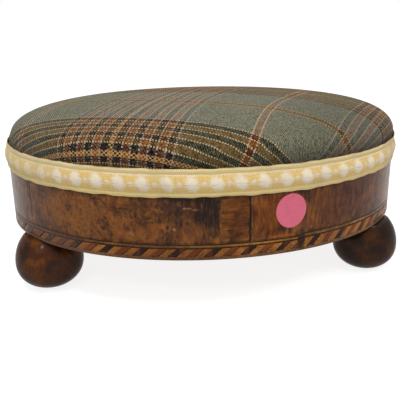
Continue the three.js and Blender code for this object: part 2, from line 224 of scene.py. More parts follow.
class Finish:
    """Builds one material round its surface shader."""

    def __init__(self, name, **constants):
        self.material = bpy.data.materials.new(name)
        self.material.use_nodes = True
        self.tree = self.material.node_tree
        self.shader = self.tree.nodes["Principled BSDF"]
        for socket, value in constants.items():
            label = socket.replace("_", " ").title().replace("Ior", "IOR")
            self.shader.inputs[label].default_value = value

    def feed(self, socket, value):
        if isinstance(value, Wire):
            self.tree.links.new(value.socket, socket)
        else:
            socket.default_value = value

    def node(self, kind, settings=None, inputs=None, output=0):
        """Adds a node. Its settings are set first, then the values or links of its sockets."""
        made = self.tree.nodes.new("ShaderNode" + kind)
        for name, value in (settings or {}).items():
            if name == "stops":
                self.set_stops(made.color_ramp, value)
            else:
                setattr(made, name, value)
        for name, value in (inputs or {}).items():
            self.feed(made.inputs[name], value)
        return Wire(self, made.outputs[output])

    @staticmethod
    def set_stops(ramp, stops):
        steps, ramp.interpolation = stops[1:], stops[0]
        while len(ramp.elements) < len(steps):
            ramp.elements.new(1.0)
        for element, (place, shade) in zip(ramp.elements, steps):
            element.position = place
            element.color = rgb(*shade)

    def math(self, operation, *values):
        return self.node("Math", {"operation": operation}, dict(enumerate(values)))

    def mix(self, share, low, high, blend="MIX"):
        """A colour between low and high."""
        settings = {"data_type": "RGBA", "blend_type": blend}
        return self.node("Mix", settings, {0: share, 6: low, 7: high}, 2)

    def layered(self, colour, *layers):
        """Lays shades over a colour, one after another. A layer is its share, its shade as levels of
        the screen, and its way of blending where that isn't a plain mix."""
        for share, shade, *blend in layers:
            colour = self.mix(share, colour, rgb(*shade), *blend)
        return colour

    def fade(self, value, low, high):
        """0 at low, 1 at high, smooth between them."""
        settings = {"interpolation_type": "SMOOTHSTEP"}
        return self.node("MapRange", settings, {0: value, 1: low, 2: high})

    def band(self, value, middle, near, far):
        """1 within a distance near of a middle value, 0 beyond the distance far."""
        return 1 - self.fade(abs(value - middle), near, far)

    def ramp(self, value, *stops):
        """A colour for a value: the way between the stops, then each stop's place and shade."""
        return self.node("ValToRGB", {"stops": stops}, {0: value})

    def flat_place(self):
        """The piece's own two measures from its UV map, in millimetres."""
        place = self.node("UVMap", {"uv_map": "UVMap"})
        return self.part(place, 0), self.part(place, 1)

    def part(self, place, axis):
        """One of a place's three measures."""
        return self.node("SeparateXYZ", None, {0: place}, axis)

    def solid_place(self):
        """The place in the object, in millimetres."""
        place = self.node("TexCoord", None, None, "Object")
        return self.node("VectorMath", {"operation": "SCALE"}, {0: place, "Scale": 1 / MM})

    def stretched(self, place, *scale):
        return self.node("Mapping", None, {"Vector": place, "Scale": scale})

    def vector(self, *parts):
        return self.node("CombineXYZ", None, dict(enumerate(parts)))

    def noise(self, place, scale, detail=2.0, roughness=0.5, distortion=0.0):
        inputs = {"Vector": place, "Scale": scale, "Detail": detail}
        return self.node("TexNoise", None, {**inputs, "Roughness": roughness, "Distortion": distortion})

    def cells(self, place, scale):
        """Distance to the nearest of scattered points, in cell sizes."""
        return self.node("TexVoronoi", None, {"Vector": place, "Scale": scale})

    def done(self, colour, roughness=None, height=None, depth=0.1):
        """Feeds the shader. Height is 0 to 1 and depth its size in millimetres."""
        self.feed(self.shader.inputs["Base Color"], colour)
        if roughness is not None:
            self.feed(self.shader.inputs["Roughness"], roughness)
        if height is not None:
            inputs = {"Height": height, "Distance": depth * MM, "Strength": 1.0}
            self.feed(self.shader.inputs["Normal"], self.node("Bump", None, inputs))
        return self.material


def thread_round(place):
    """How a round thread stands across its width: 0 at its edges, 1 along its middle."""
    return 1 - abs((place % 1.0) * 2.0 - 1.0)


# Meshes


def put_mesh(name, points, faces, uv, material, tones=None, crease=40):
    """Makes an object of points in millimetres, faces, and one UV pair for each face corner."""
    numbers = np.concatenate([np.asarray(block).ravel() for block in faces])
    used, faces_flat = np.unique(numbers, return_inverse=True)
    lists = []
    start = 0
    for block in faces:
        count = np.asarray(block).size
        lists += faces_flat[start:start + count].reshape(np.shape(block)).tolist()
        start += count
    mesh = bpy.data.meshes.new(name)
    mesh.from_pydata((points.reshape(-1, 3)[used] * MM).tolist(), [], lists)
    layer = mesh.uv_layers.new(name="UVMap")
    flat = np.concatenate([corners.reshape(-1, 2) for corners in uv])
    layer.data.foreach_set("uv", flat.astype(np.float32).ravel())
    if tones is not None:
        attribute = mesh.attributes.new("tone", "FLOAT", "FACE")
        attribute.data.foreach_set("value", np.asarray(tones, np.float32))
    mesh.polygons.foreach_set("use_smooth", np.ones(len(mesh.polygons), bool))
    mesh.set_sharp_from_angle(angle=math.radians(crease))
    mesh.materials.append(material)
    mesh.update()
    piece = bpy.data.objects.new(name, mesh)
    bpy.context.scene.collection.objects.link(piece)
    return piece


def grid_parts(points, uv, ring=True, loop=False, poles=(False, False), capped=False):
    """Faces and corner UVs of a grid. Rows go along a profile and columns along a path. ring joins
    the last column to the first, loop the last row to the first, a pole is a row at one point,
    and capped closes the two ends of an open path. uv has one row or column more where it joins."""
    rows, columns = points.shape[:2]
    number = np.arange(rows * columns).reshape(rows, columns)
    if poles[0]:
        number[0] = number[0, 0]
    if poles[1]:
        number[-1] = number[-1, 0]
    ends = number[:, 0], number[::-1, -1]
    if loop:
        number = np.vstack([number, number[:1]])
    if ring:
        number = np.hstack([number, number[:, :1]])
    quads = np.stack([number[:-1, :-1], number[:-1, 1:], number[1:, 1:], number[1:, :-1]], axis=-1)
    marks = np.stack([uv[:-1, :-1], uv[:-1, 1:], uv[1:, 1:], uv[1:, :-1]], axis=-2)
    faces, corners = [], []
    first, last = int(poles[0]), len(quads) - int(poles[1])
    if poles[0]:
        faces.append(quads[0][:, [0, 2, 3]])
        corners.append(marks[0][:, [0, 2, 3]])
    faces.append(quads[first:last].reshape(-1, 4))
    corners.append(marks[first:last].reshape(-1, 4, 2))
    if poles[1]:
        faces.append(quads[-1][:, [0, 1, 2]])
        corners.append(marks[-1][:, [0, 1, 2]])
    if capped:
        for end, column in zip(ends, (uv[:rows, 0], uv[:rows, -1][::-1])):
            faces.append(end[None, :])
            corners.append(column[None, :, :])
    return faces, corners


def grid_piece(name, points, uv, material, crease=40, **joins):
    faces, corners = grid_parts(points, uv, **joins)
    return put_mesh(name, points, faces, corners, material, crease=crease)


def dress(piece, node):
    """Hangs a piece on the body and hides the CAD node it stands for."""
    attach(piece, "root")
    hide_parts(node)
    return piece


def dressed_grid(name, slot, node, *surface, **joins):
    """A grid piece hung on the body in the place of a CAD node."""
    return dress(grid_piece(name, *surface, **joins), node)


# Bun feet

foot_names = ("foot_back_right", "foot_back_left", "foot_front_left", "foot_front_right")
foot_middle = 17.1
foot_base_radius = 8.0
foot_shoulder_radius = 15.6
foot_neck_radius = 10.5
foot_neck = 0.5
foot_shoulder_drop = 1.0
foot_under_fullness = 2.2
foot_upper_fullness = 2.0
foot_edge = 0.8
tenon_radius = 4.75
foot_rows = 40
first_row_share = 0.06
row_crowding = 1.4
sole_ring_share = 0.5


def ball_radius(share, end_radius, fullness):
    """Radius of the ball between its middle and one end: a curve between an ellipse and a box."""
    taper = 1 - (end_radius / foot_radius) ** fullness
    return foot_radius * (1 - taper * share ** fullness) ** (1 / fullness)


def foot_profile():
    """Radius and height from the middle of the sole, out, up round the ball, over the shoulder to
    the neck, and up the tenon. The sole's edge is rounded by a quarter circle, and the ball's rows
    lie closer towards it."""
    shoulder = frieze_bottom - foot_neck - foot_shoulder_drop
    lower_rows = np.linspace(first_row_share, 1, foot_rows)
    upper_rows = np.linspace(0, 1, foot_rows)
    under = foot_middle * np.sin(lower_rows * math.pi / 2) ** row_crowding
    above = foot_middle + (shoulder - foot_middle) * np.sin(upper_rows * math.pi / 2)[1:]
    parts = [(np.array([0.0, foot_base_radius * sole_ring_share]), np.zeros(2))]
    sole = np.linspace(0, math.pi / 2, 5)
    parts.append((foot_base_radius - foot_edge * (1 - np.sin(sole)), under[0] * (1 - np.cos(sole))))
    parts.append((ball_radius(1 - under / foot_middle, foot_base_radius, foot_under_fullness), under))
    upper = (above - foot_middle) / (shoulder - foot_middle)
    parts.append((ball_radius(upper, foot_shoulder_radius, foot_upper_fullness), above))
    turn = np.linspace(0, 1, 9)[1:]
    parts.append((foot_shoulder_radius + (foot_neck_radius - foot_shoulder_radius) * turn,
                  shoulder + foot_shoulder_drop * np.sin(turn * math.pi / 2)))
    parts.append((np.array([foot_neck_radius, tenon_radius, tenon_radius]),
                  np.array([frieze_bottom, frieze_bottom, tenon_top - foot_edge])))
    parts.append((np.array([tenon_radius - foot_edge, 0.0]), np.array([tenon_top, tenon_top])))
    return np.concatenate([p[0] for p in parts]), np.concatenate([p[1] for p in parts])


def turned_foot(name, material):
    """The foot's profile carried round its own axis. UV is the way round and the height."""
    middle = middle_mm(name)
    radius, height = foot_profile()
    columns = 96
    angle = np.arange(columns) / columns * TURN
    out = radius[:, None]
    points = side_by_side(
        middle[0] + out * np.cos(angle), middle[1] + out * np.sin(angle), height[:, None])
    around = np.arange(columns + 1) / columns * TURN * foot_radius
    uv = side_by_side(around[None, :], height[:, None])
    return dressed_grid(name + "_turned", "turned_wood", name, points, uv, material,
                        poles=(True, True), crease=50)


def polished_wood():
    """Dark polished hardwood: long grain up the foot, reddish and black mottling, worn polish, and
    painted shade over the feet on the right.
    """
    f = Finish("polished_wood", roughness=0.5, coat_weight=0.07, coat_roughness=0.16, coat_ior=2.1,
               specular_ior_level=0.02)
    place = f.solid_place()
    fibre = f.noise(f.stretched(place, 1.0, 1.0, 0.16), 0.9, 5.0, 0.65, 0.3)
    cloud = f.noise(place, 0.075, 3.0, 0.55, 0.6)
    speck = f.noise(place, 0.8, 2.0, 0.6)
    colour = f.ramp(cloud, "EASE", (0.36, (46, 23, 9)), (0.5, (74, 38, 11)), (0.66, (104, 56, 15)))
    colour = f.layered(
        colour,
        (f.fade(fibre, 0.45, 0.7) * 0.45, (34, 18, 11)),
        (f.fade(speck, 0.6, 0.75) * 0.3, (112, 56, 34)),
        # Painted shade over the feet on the right
        (f.fade(f.part(place, 0), 60.0, 112.0) * 0.55, (26, 14, 8)))
    rough = f.noise(place, 0.2, 3.0) * 0.22 + 0.2
    return f.done(colour, rough, fibre, 0.05)


# Veneer leaves: their joints in shares of a turn, then sizes in millimetres

leaf_joints = (0.1389, 0.3194, 0.4583, 0.5917, 0.7494, 0.7686, 0.9583)
leaf_lip = 0.15
lip_fade = 0.8
leaf_wave = 0.05
wave_slant = 2.3
wave_from = 3.0
leaf_column = 1.2
bare_gap = 0.02


def veneer_leaf(index, material):
    """One leaf: a profile loop up the face, over the lip and down the back, carried along the run
    between two joints. The face is uneven by a few hundredths, as old hand-laid veneer is."""
    gaps = [glue_line / 2 if joint != bare_joint else bare_gap for joint in (index, index + 1)]
    start = run_at(leaf_joints[index]) + gaps[0]
    after = leaf_joints[(index + 1) % len(leaf_joints)] + (index + 1 == len(leaf_joints))
    stop = run_at(after) - gaps[1]
    columns = max(int((stop - start) / leaf_column), 12)
    run = start + (stop - start) * np.linspace(0, 1, columns)
    face_heights = np.linspace(leaf_bottom + leaf_lip, leaf_top - leaf_lip, 26)
    heights = np.concatenate([[leaf_bottom], face_heights, [leaf_top]])
    lip = np.where((heights == leaf_bottom) | (heights == leaf_top), -leaf_lip, 0.0)
    lips = [leaf_lip if gap > bare_gap else 0.0 for gap in gaps]
    ends = (lips[0] * (1 - smooth_step(run - start, 0, lip_fade))
            + lips[1] * (1 - smooth_step(stop - run, 0, lip_fade)))
    wave = leaf_wave * ripple(run[None, :] + wave_slant * heights[:, None], (31, 53, 97), index)
    wave = wave * smooth_step(heights[:, None], leaf_bottom, leaf_bottom + wave_from)
    face = lip[:, None] + wave - ends[None, :]
    outer = on_oval(run[None, :], face, heights[:, None])
    back_heights = np.array([leaf_top, leaf_bottom])
    inner = on_oval(run[None, :], -skin, back_heights[:, None])
    points = np.concatenate([outer, inner])
    down = np.concatenate([heights, back_heights + np.array([skin, -skin]), [leaf_bottom]])
    uv = side_by_side(run[None, :], down[:, None])
    name = f"veneer_leaf_{index + 1}"
    return dressed_grid(name + "_burr", "burr_veneer", name, points, uv, material,
                        ring=False, loop=True, capped=True)


def frieze_run(degrees):
    """Run at an angle of the oval, measured anticlockwise from its right end, in degrees."""
    return float(run_at((degrees % 360) / 360))


def burr(name, cross_grain=False):
    """Burr walnut: swirls with small dark eyes over the left half of the front, upright streaks and
    fibres elsewhere, short dark flecks, then the marks of age with painted shade and sheen."""
    f = Finish(name, roughness=0.4, coat_weight=0.35, coat_roughness=0.25, coat_ior=1.25,
               specular_ior_level=0.05)
    run, height = f.flat_place()
    place = f.vector(run, height, 0.0)
    along, across = (height, run) if cross_grain else (run, height)
    uneven = (f.noise(place, 0.05, 3.0) - 0.5) * 1.2
    burl = blot(f, run, height, (-119.0, 60.0, 50.0, 34.0), uneven)
    cloud = f.noise(place, 0.06, 4.0, 0.62, 1.0)
    swirl = f.noise(f.vector(run, height * 0.75, 5.0), 0.24, 5.0, 0.74, 1.4)
    streak = f.noise(f.vector(along, across * 0.2, 3.0), 0.45, 5.0, 0.68, 0.5)
    fibre = f.noise(f.vector(along * 2.4, across * 0.3, 7.0), 1.0, 3.0, 0.65)
    figure = cloud * 0.45 + (streak * (1 - burl) + swirl * burl) * 0.55
    colour = f.ramp(
        figure, "EASE", (0.37, (50, 31, 22)), (0.46, (92, 56, 31)),
        (0.53, (124, 77, 36)), (0.62, (166, 106, 48)))
    eyes = f.cells(f.vector(run, height * 0.85, 0.0), 0.17)
    eye = (1 - f.fade(eyes, 0.05, 0.24)) * f.fade(cloud, 0.44, 0.52) * burl
    ring = f.fade(eyes, 0.16, 0.3) * (1 - f.fade(eyes, 0.3, 0.46)) * burl
    fleck = f.noise(f.vector(run * 0.8, height * 1.7, 21.0), 1.0, 2.0, 0.6)
    blush = f.noise(f.vector(run, height, 31.0), 0.16, 3.0, 0.6)
    pores = f.noise(f.vector(along * 1.3, across * 0.16, 43.0), 1.0, 4.0, 0.7)
    colour = f.layered(
        colour,
        (ring * 0.3, (172, 116, 62)),
        (eye * 0.75, (50, 30, 22)),
        (f.fade(fibre, 0.46, 0.72) * 0.5, (60, 35, 22)),
        (f.fade(fleck, 0.6, 0.72) * 0.45, (48, 29, 22)),
        (f.fade(blush, 0.5, 0.72) * 0.35, (126, 66, 50)))
    colour = f.layered(
        age_marks_and_painted_light(f, run, height, colour),
        (f.fade(pores, 0.5, 0.68) * (0.52 - burl * 0.3), (38, 20, 12)),
        ((1 - f.fade(pores, 0.34, 0.5)) * 0.22, (160, 98, 54)),
        (f.fade(figure, 0.52, 0.62) * 0.4, (154, 88, 34)),
        ((1 - f.fade(figure, 0.4, 0.5)) * 0.5, (40, 22, 18)))
    rough = f.noise(place, 0.12, 3.0) * 0.2 + 0.26
    return f.done(colour, rough, streak * 0.4 + fibre * 0.6, 0.05)


def blot(f, run, height, spot, edge):
    """A soft blot: 1 inside an oval round a place on the frieze, 0 outside, its edge made uneven."""
    degrees, level, half_run, half_height = spot
    across = (run - frieze_run(degrees)) / half_run
    up = (height - level) / half_height
    away = f.math("SQRT", across * across + up * up) + edge
    return 1 - f.fade(away, 0.7, 1.25)


# Places on the frieze: angle in degrees, then height, half width and half height in millimetres.
# After each its shade, as levels of the screen, and its share
stains_and_sheen = (
    # Painted grey sheen at the left end of the front
    ((-163.0, 62.0, 30.0, 22.0), (112, 92, 78), 0.6),
    ((-140.0, 62.0, 13.0, 18.0), (100, 74, 58), 0.5),
    ((-128.0, 58.0, 22.0, 13.0), (146, 92, 48), 0.4),
    ((-111.0, 54.0, 16.0, 7.0), (150, 90, 42), 0.45),
    ((-50.0, 62.0, 46.0, 20.0), (92, 52, 36), 0.7),
    # Painted grey sheen near the right end of the front
    ((-22.0, 62.0, 26.0, 24.0), (122, 98, 84), 0.5),
    ((-107.0, 71.5, 15.0, 5.0), (54, 34, 30), 0.6),
    ((-98.0, 66.0, 18.0, 13.0), (58, 38, 32), 0.5),
    ((-93.5, 66.0, 9.0, 10.0), (24, 22, 22), 0.86),
    ((-98.0, 74.5, 15.0, 3.4), (26, 20, 22), 0.85),
    ((-92.5, 57.0, 5.0, 6.0), (44, 34, 28), 0.5),
    ((-100.6, 58.0, 2.0, 11.0), (42, 30, 28), 0.55),
    ((-109.1, 59.2, 2.8, 4.4), (48, 34, 32), 0.65),
    ((-102.6, 51.5, 2.5, 3.5), (52, 34, 26), 0.55),
    ((-97.0, 53.5, 8.0, 5.0), (136, 80, 40), 0.45),
    ((-86.7, 62.0, 8.0, 16.0), (108, 58, 18), 0.75),
    ((-78.0, 63.0, 11.0, 14.0), (114, 54, 14), 0.65),
)
scars = (
    ((-98.5, 67.7, 2.6, 0.6), (166, 110, 78), 0.75),
    ((-96.5, 66.8, 1.8, 0.7), (140, 98, 76), 0.65),
    ((-100.3, 70.2, 1.2, 1.7), (140, 94, 60), 0.5),
    ((-83.0, 73.2, 1.0, 1.6), (110, 88, 84), 0.7),
    ((-101.6, 55.2, 0.8, 1.0), (176, 142, 112), 0.6),
    ((-112.4, 52.0, 1.4, 1.1), (168, 128, 88), 0.45),
    ((-88.5, 54.0, 3.2, 0.35), (28, 17, 12), 0.9),
    ((-114.9, 66.6, 4.5, 0.5), (48, 30, 22), 0.7),
    ((-75.5, 47.8, 9.5, 1.1), (176, 98, 38), 0.75),
)
bare_joint, split_joint = 4, 5


def age_marks_and_painted_light(f, run, height, colour):
    """Adds stained and worn patches, a painted grey sheen at both ends of the front, scars, dirt along
    the joints, a painted shadow under the braid, a joint that has split open, and a darker band
    along the leaves' bottom edge."""
    edge = (f.noise(f.vector(run, height, 11.0), 0.22, 4.0, 0.65) - 0.5) * 1.7
    ragged = (f.noise(f.vector(run, height, 37.0), 0.8, 3.0, 0.7) - 0.5) * 2.2
    for marks, rim in ((stains_and_sheen, edge), (scars, ragged)):
        for spot, shade, share in marks:
            colour = f.layered(colour, (blot(f, run, height, spot, rim) * share, shade))
    dirt = f.noise(f.vector(run, height, 17.0), 0.35, 3.0, 0.6)
    jag = (f.noise(f.vector(0.0, height, 41.0), 0.3, 3.0, 0.6) - 0.5) * 2.4
    for index, joint in enumerate(leaf_joints):
        if index == bare_joint:
            continue
        beyond = run - float(run_at(joint))
        away = abs(beyond + jag) - 0.35 if index == split_joint else abs(beyond)
        colour = f.layered(colour, ((1 - f.fade(away + dirt, 0.5, 1.2)) * 0.85, (24, 15, 12)))
    # Painted shadow under the braid, its edge made uneven by the dirt noise
    shadow_under_braid = f.fade(height + dirt * 3.0, gimp_bottom - 1.0, gimp_bottom + 2.5)
    low = 1 - f.fade(height - dirt * 1.6, leaf_bottom - 0.4, leaf_bottom + 1.0)
    return f.layered(colour, (shadow_under_braid * 0.75, (28, 18, 15)), (low * 0.55, (40, 24, 17)))


# Inlaid lines and rope banding

rope_height = 5.7
rope_pitch = 10.5
saw_gap = 0.3
rope_count = round(perimeter / rope_pitch)
rope_step = perimeter / rope_count
rope_start = rope_step / 2
rope_bottom = inlay_low
rope_top = rope_bottom + rope_height
line_swell = 0.02
piece_lip = 0.12
piece_wobble = 0.18
piece_sink = 0.06


def line_grid(bottom, top):
    """A narrow line let in round the whole oval: a loop up the rounded face and down the back."""
    columns = 480
    run = np.arange(columns) / columns * perimeter
    middle = (bottom + top) / 2
    height = np.array([bottom, bottom + piece_lip, middle, top - piece_lip, top, top, bottom])
    offset = np.array([-piece_lip, 0, line_swell, 0, -piece_lip, -skin, -skin])
    points = on_oval(run[None, :], offset[:, None], height[:, None])
    marks = np.arange(columns + 1) / columns * perimeter
    down = np.concatenate([height, [bottom]])
    uv = side_by_side(marks[None, :], down[:, None])
    return points, uv


def inlaid_line(node, bottom, top, slot, material):
    return dressed_grid(node + "_line", slot, node, *line_grid(bottom, top), material, loop=True)


def rope_blocks(start, low, high, seed):
    """All slanted pieces of one comb as one array: for each, four outer corners, four corners of its
    rounded face and four back corners. A piece leans by its own height."""
    draw = np.random.default_rng(seed)
    left = start + np.arange(rope_count) * rope_step + saw_gap / 2
    right = left + rope_step / 2 - saw_gap
    wobble = draw.uniform(-piece_wobble, piece_wobble, (2, rope_count))
    left, right = left + wobble[0], right + wobble[1]
    lean = high - low
    sink = draw.uniform(0.0, piece_sink, rope_count)
    def corners(inset, offset):
        first, last = left + inset, right - inset
        runs = np.stack([first, last, last + lean, first + lean], axis=1)
        heights = np.array([low + inset, low + inset, high - inset, high - inset])
        return on_oval(runs, (offset - sink)[:, None] if inset else offset, heights[None, :])
    rim = corners(0.0, -piece_lip)
    face = corners(piece_lip, 0.0)
    back = corners(0.0, -skin)
    points = np.concatenate([rim, face, back], axis=1)
    side = np.array([[0, 1, 5, 4], [1, 2, 6, 5], [2, 3, 7, 6], [3, 0, 4, 7], [4, 5, 6, 7],
                     [8, 9, 1, 0], [9, 10, 2, 1], [10, 11, 3, 2], [11, 8, 0, 3], [11, 10, 9, 8]])
    faces = side[None, :, :] + points.shape[1] * np.arange(rope_count)[:, None, None]
    runs = np.stack([left, right, right + lean, left + lean], axis=1)
    heights = np.broadcast_to(np.array([low, low, high, high]), runs.shape)
    flat = np.tile(np.stack([runs, heights], axis=-1), (1, 3, 1)).reshape(-1, 2)
    return points, faces.reshape(-1, 4), flat[faces.reshape(-1)].reshape(-1, 4, 2)


def rope_comb(node, start, low, high, line, tones, material, seed):
    """One comb of the banding: its slanted pieces and the line that carries them, as one piece.
    Each face's tone says which wood it is."""
    points, faces, corners = rope_blocks(start, low, high, seed)
    line_points, line_uv = line_grid(*line)
    line_faces, line_corners = grid_parts(line_points, line_uv, loop=True)
    count = points.shape[0] * points.shape[1]
    all_points = np.concatenate([points.reshape(-1, 3), line_points.reshape(-1, 3)])
    all_faces = [faces] + [block + count for block in line_faces]
    piece_tones = np.repeat(tones, len(faces) // rope_count)
    face_tones = np.concatenate([piece_tones, np.full(len(line_faces[0]), tones_of["line"])])
    all_corners = [corners] + line_corners
    piece = put_mesh(node + "_pieces", all_points, all_faces, all_corners, material, face_tones)
    return dress(piece, node)


# Tones of the banding's woods, as written on the faces, and the polish over all inlay
tones_of = {"dark": 0.05, "brown": 0.35, "ochre": 0.65, "line": 0.9}
inlay_polish = {"roughness": 0.42, "coat_weight": 0.3, "coat_roughness": 0.28, "coat_ior": 1.25,
                "specular_ior_level": 0.05}


def inlay_wood(name, line_dark, line_pale):
    """Small pieces of several woods under one old polish: the tone on each face picks the wood."""
    f = Finish(name, **inlay_polish)
    run, height = f.flat_place()
    tone = f.node("Attribute", {"attribute_name": "tone"}, None, "Fac")
    wood = f.ramp(tone, "CONSTANT", (0.0, (24, 21, 20)), (0.2, (128, 70, 36)),
                  (0.5, (182, 116, 52)), (0.8, line_pale))
    each = f.noise(f.vector(run / (rope_step / 2), 0.0, 0.0), 1.0, 1.0)
    grain = f.noise(f.vector(run * 1.4, height * 0.7, 2.0), 1.0, 4.0, 0.6)
    colour = f.layered(
        wood,
        (f.fade(grain, 0.4, 0.75) * 0.5, (76, 44, 24)),
        (f.fade(each, 0.45, 0.65) * 0.45, (134, 70, 34)),
        ((tone > 0.8) * f.fade(grain, 0.45, 0.6) * 0.5, line_dark))
    return f.done(old_polish(f, run, height, colour), None, grain, 0.04)


def old_polish(f, run, height, colour):
    """Dirt in patches, more of it left of the front's middle and at its left end, and a repair."""
    dirt = f.noise(f.vector(run, height, 23.0), 0.06, 4.0, 0.65)
    fine = f.noise(f.vector(run, height, 29.0), 0.7, 3.0, 0.7)
    left = blot(f, run, height, (-146.0, 42.0, 42.0, 30.0), 0.0)
    middle = blot(f, run, height, (-102.0, 42.0, 34.0, 30.0), (dirt - 0.5) * 1.5)
    repair = blot(f, run, height, (-69.4, 43.0, 2.6, 6.5), (fine - 0.5) * 0.8)
    return f.layered(
        colour,
        (f.fade(dirt * 0.6 + fine * 0.4, 0.46, 0.62) * 0.6, (54, 34, 24)),
        (left * 0.62, (88, 64, 54)),
        (middle * 0.35, (52, 30, 18)),
        (repair * 0.85, (38, 28, 22)))


def plain_line(name, colours):
    """A single line of wood with short changes of tone along it."""
    f = Finish(name, **inlay_polish)
    run, height = f.flat_place()
    along = f.noise(f.vector(run * 0.05, height * 0.1, 5.0), 1.0, 4.0, 0.6)
    grain = f.noise(f.vector(run * 0.5, height * 3.0, 9.0), 1.0, 3.0)
    colour = f.ramp(along * 0.7 + grain * 0.3, "EASE", *zip((0.38, 0.5, 0.62), colours))
    if name == "ochre_line":
        bright = blot(f, run, height, (-86.0, 45.5, 34.0, 12.0), (along - 0.5) * 1.5)
        colour = f.mix(bright * 0.45, colour, rgb(206, 144, 54))
    return f.done(old_polish(f, run, height, colour), None, grain, 0.03)


# Sticker: its angle in degrees, how far its outline is off round, and its stand-off in millimetres

sticker_angle = 287.4
stretch_along, stretch_up = 1.02, 1.08
paper_face, paper_back = 0.3, 0.1
paper_lift = 0.12
lift_from_share, lift_angle = 0.75, 0.9


def paper_disc(material):
    """A thin round of paper bent to the frieze, one edge just lifting. Rings from the middle out,
    over the edge and back under."""
    middle_run = frieze_run(sticker_angle)
    radius = size_mm("sticker_blank")[2] / 2
    middle = middle_mm("sticker_blank")[2]
    columns, rings, back_rings = 72, 14, 6
    angle = np.arange(columns) / columns * TURN
    reach = radius * np.concatenate([np.linspace(0, 1, rings), np.linspace(1, 0, back_rings)])[:, None]
    offset = np.concatenate([np.full(rings, paper_face), np.full(back_rings, paper_back)])[:, None]
    rim = smooth_step(reach / radius, lift_from_share, 1)
    lift = paper_lift * rim * (1 + np.cos(angle - lift_angle)) / 2
    run = middle_run + stretch_along * reach * np.cos(angle)
    points = on_oval(run, offset + lift, middle + stretch_up * reach * np.sin(angle))
    around = np.arange(columns + 1) / columns * TURN
    uv = np.stack([reach * np.cos(around), reach * np.sin(around)], axis=-1)
    return dressed_grid("sticker_paper", "sticker_paper", "sticker_blank", points[::-1], uv[::-1],
                        material, poles=(True, True))


def pink_paper():
    f = Finish("pink_paper", roughness=0.55, specular_ior_level=0.3)
    place = f.solid_place()
    pulp = f.noise(place, 2.2, 4.0, 0.7)
    rubbed = f.noise(place, 0.25, 3.0)
    colour = f.mix(f.fade(pulp, 0.35, 0.7), rgb(228, 106, 132), rgb(244, 126, 146))
    colour = f.mix(f.fade(rubbed, 0.52, 0.72) * 0.35, colour, rgb(222, 94, 124))
    return f.done(colour, None, pulp, 0.02)


# The seat's outer form

crown_rise = 26.6
drawn_in = 1.3
edge_swell = 1.5
edge_swell_fullness = 0.8
hem_offset = -0.2
cover_thickness = 1.0
crown_side_fullness = 0.667
crown_rise_fullness = 0.752
crown_lean = 0.138
seat_askew = 1.0
askew_below, askew_above = 5.0, 6.0
edge_puff = 0.5
puff_level = 1.6
tack_spacing = 24.0
tack_dimple = 0.35
tack_mean, tack_change = 0.75, 0.35
tack_fade = 6.0


def side_offset(height):
    """How far the cover's side stands out: it swells over the frame and is drawn in at the braid."""
    place = (height - hem_bottom) / (gimp_top - hem_bottom)
    swell = np.sin(np.clip(place, 0, 1) ** edge_swell_fullness * math.pi)
    return hem_offset + (-drawn_in - hem_offset) * place + edge_swell * swell


def seat_rows(from_height, side_rows, crown_rows):
    """Size share, offset and height of each row, from a height on the side up to the crown's
    middle. On the crown, size is cos^p and rise sin^q of an angle, in even steps of length, and
    the edge puffs out just above the braid by r e^(1 - r), where r is the rise over its own level."""
    place = np.linspace(0, 1, side_rows, endpoint=False)
    side_height = from_height + (gimp_top - from_height) * place
    angle = np.linspace(0, math.pi / 2, 4001)
    size = np.cos(angle) ** crown_side_fullness
    size[-1] = 0
    rise = crown_rise * np.sin(angle) ** crown_rise_fullness
    length = np.concatenate([[0], np.cumsum(np.hypot(np.diff(size) * half_length, np.diff(rise)))])
    even = np.linspace(0, length[-1], crown_rows)
    size, rise = np.interp(even, length, size), np.interp(even, length, rise)
    rows_size = np.concatenate([np.ones(side_rows), size])
    above_braid = edge_puff * rise / puff_level * np.exp(1 - rise / puff_level)
    rows_offset = np.concatenate([side_offset(side_height), above_braid - drawn_in * size])
    rows_height = np.concatenate([side_height, gimp_top + rise])
    return rows_size, rows_offset, rows_height


def settled(points):
    """The stuffing has settled: what stands above the braid's top edge stands higher by a share
    that grows in a straight line towards the front, and lower towards the back. The seat also sits
    a little to the right of the frame, from just below the braid's top edge up."""
    moved = points.copy()
    rise = np.clip(points[..., 2] - gimp_top, 0, None)
    moved[..., 2] -= rise * crown_lean * points[..., 1] / half_width
    askew = smooth_step(points[..., 2], gimp_top - askew_below, gimp_top + askew_above)
    moved[..., 0] += seat_askew * askew
    return moved


def seat_surface(rows, columns, depth=0.0):
    """The seat's rows carried round the oval, moved inwards by a depth: level on the side and
    square to the surface on the crown. Then the whole is settled."""
    size, offset, height = rows
    turn = np.arange(columns) / columns
    points = oval_rings(turn, size, offset, height)
    if depth:
        out = np.gradient(size * half_length + offset)
        up = np.gradient(height)
        length = np.hypot(out, up)
        level = height <= gimp_top
        inward = np.where(level, 1, up / length)
        down = np.where(level, 0, -out / length)
        inward[-1], down[-1] = 0, 1
        points = oval_rings(turn, size, offset - depth * inward, height - depth * down)
        points[-1, :, :2] = 0
    return settled(points)


def tack_pull(points, columns):
    """Each hidden tack draws the cover in a little: a shallow dimple at every tack that fades
    upwards over a couple of centimetres."""
    run = run_at(np.arange(columns) / columns)
    tacks = round(perimeter / tack_spacing)
    dimple = np.cos(TURN * tacks * run / perimeter) ** 4
    uneven = tack_mean + tack_change * ripple(run, (5, 11, 17), 4)
    height = points[..., 2]
    fade = np.exp(-np.clip(height - gimp_top, 0, None) / tack_fade)
    pull = tack_dimple * fade * (dimple * uneven)[None, :]
    flat = np.hypot(points[..., 0], points[..., 1]) + 1e-9
    moved = points.copy()
    moved[..., 0] -= pull * points[..., 0] / flat
    moved[..., 1] -= pull * points[..., 1] / flat
    return moved


# Cloth under tension

press_rows = 40
press_columns = 160
press_frames = 18
most_press = 1.1
held_below = 2.0


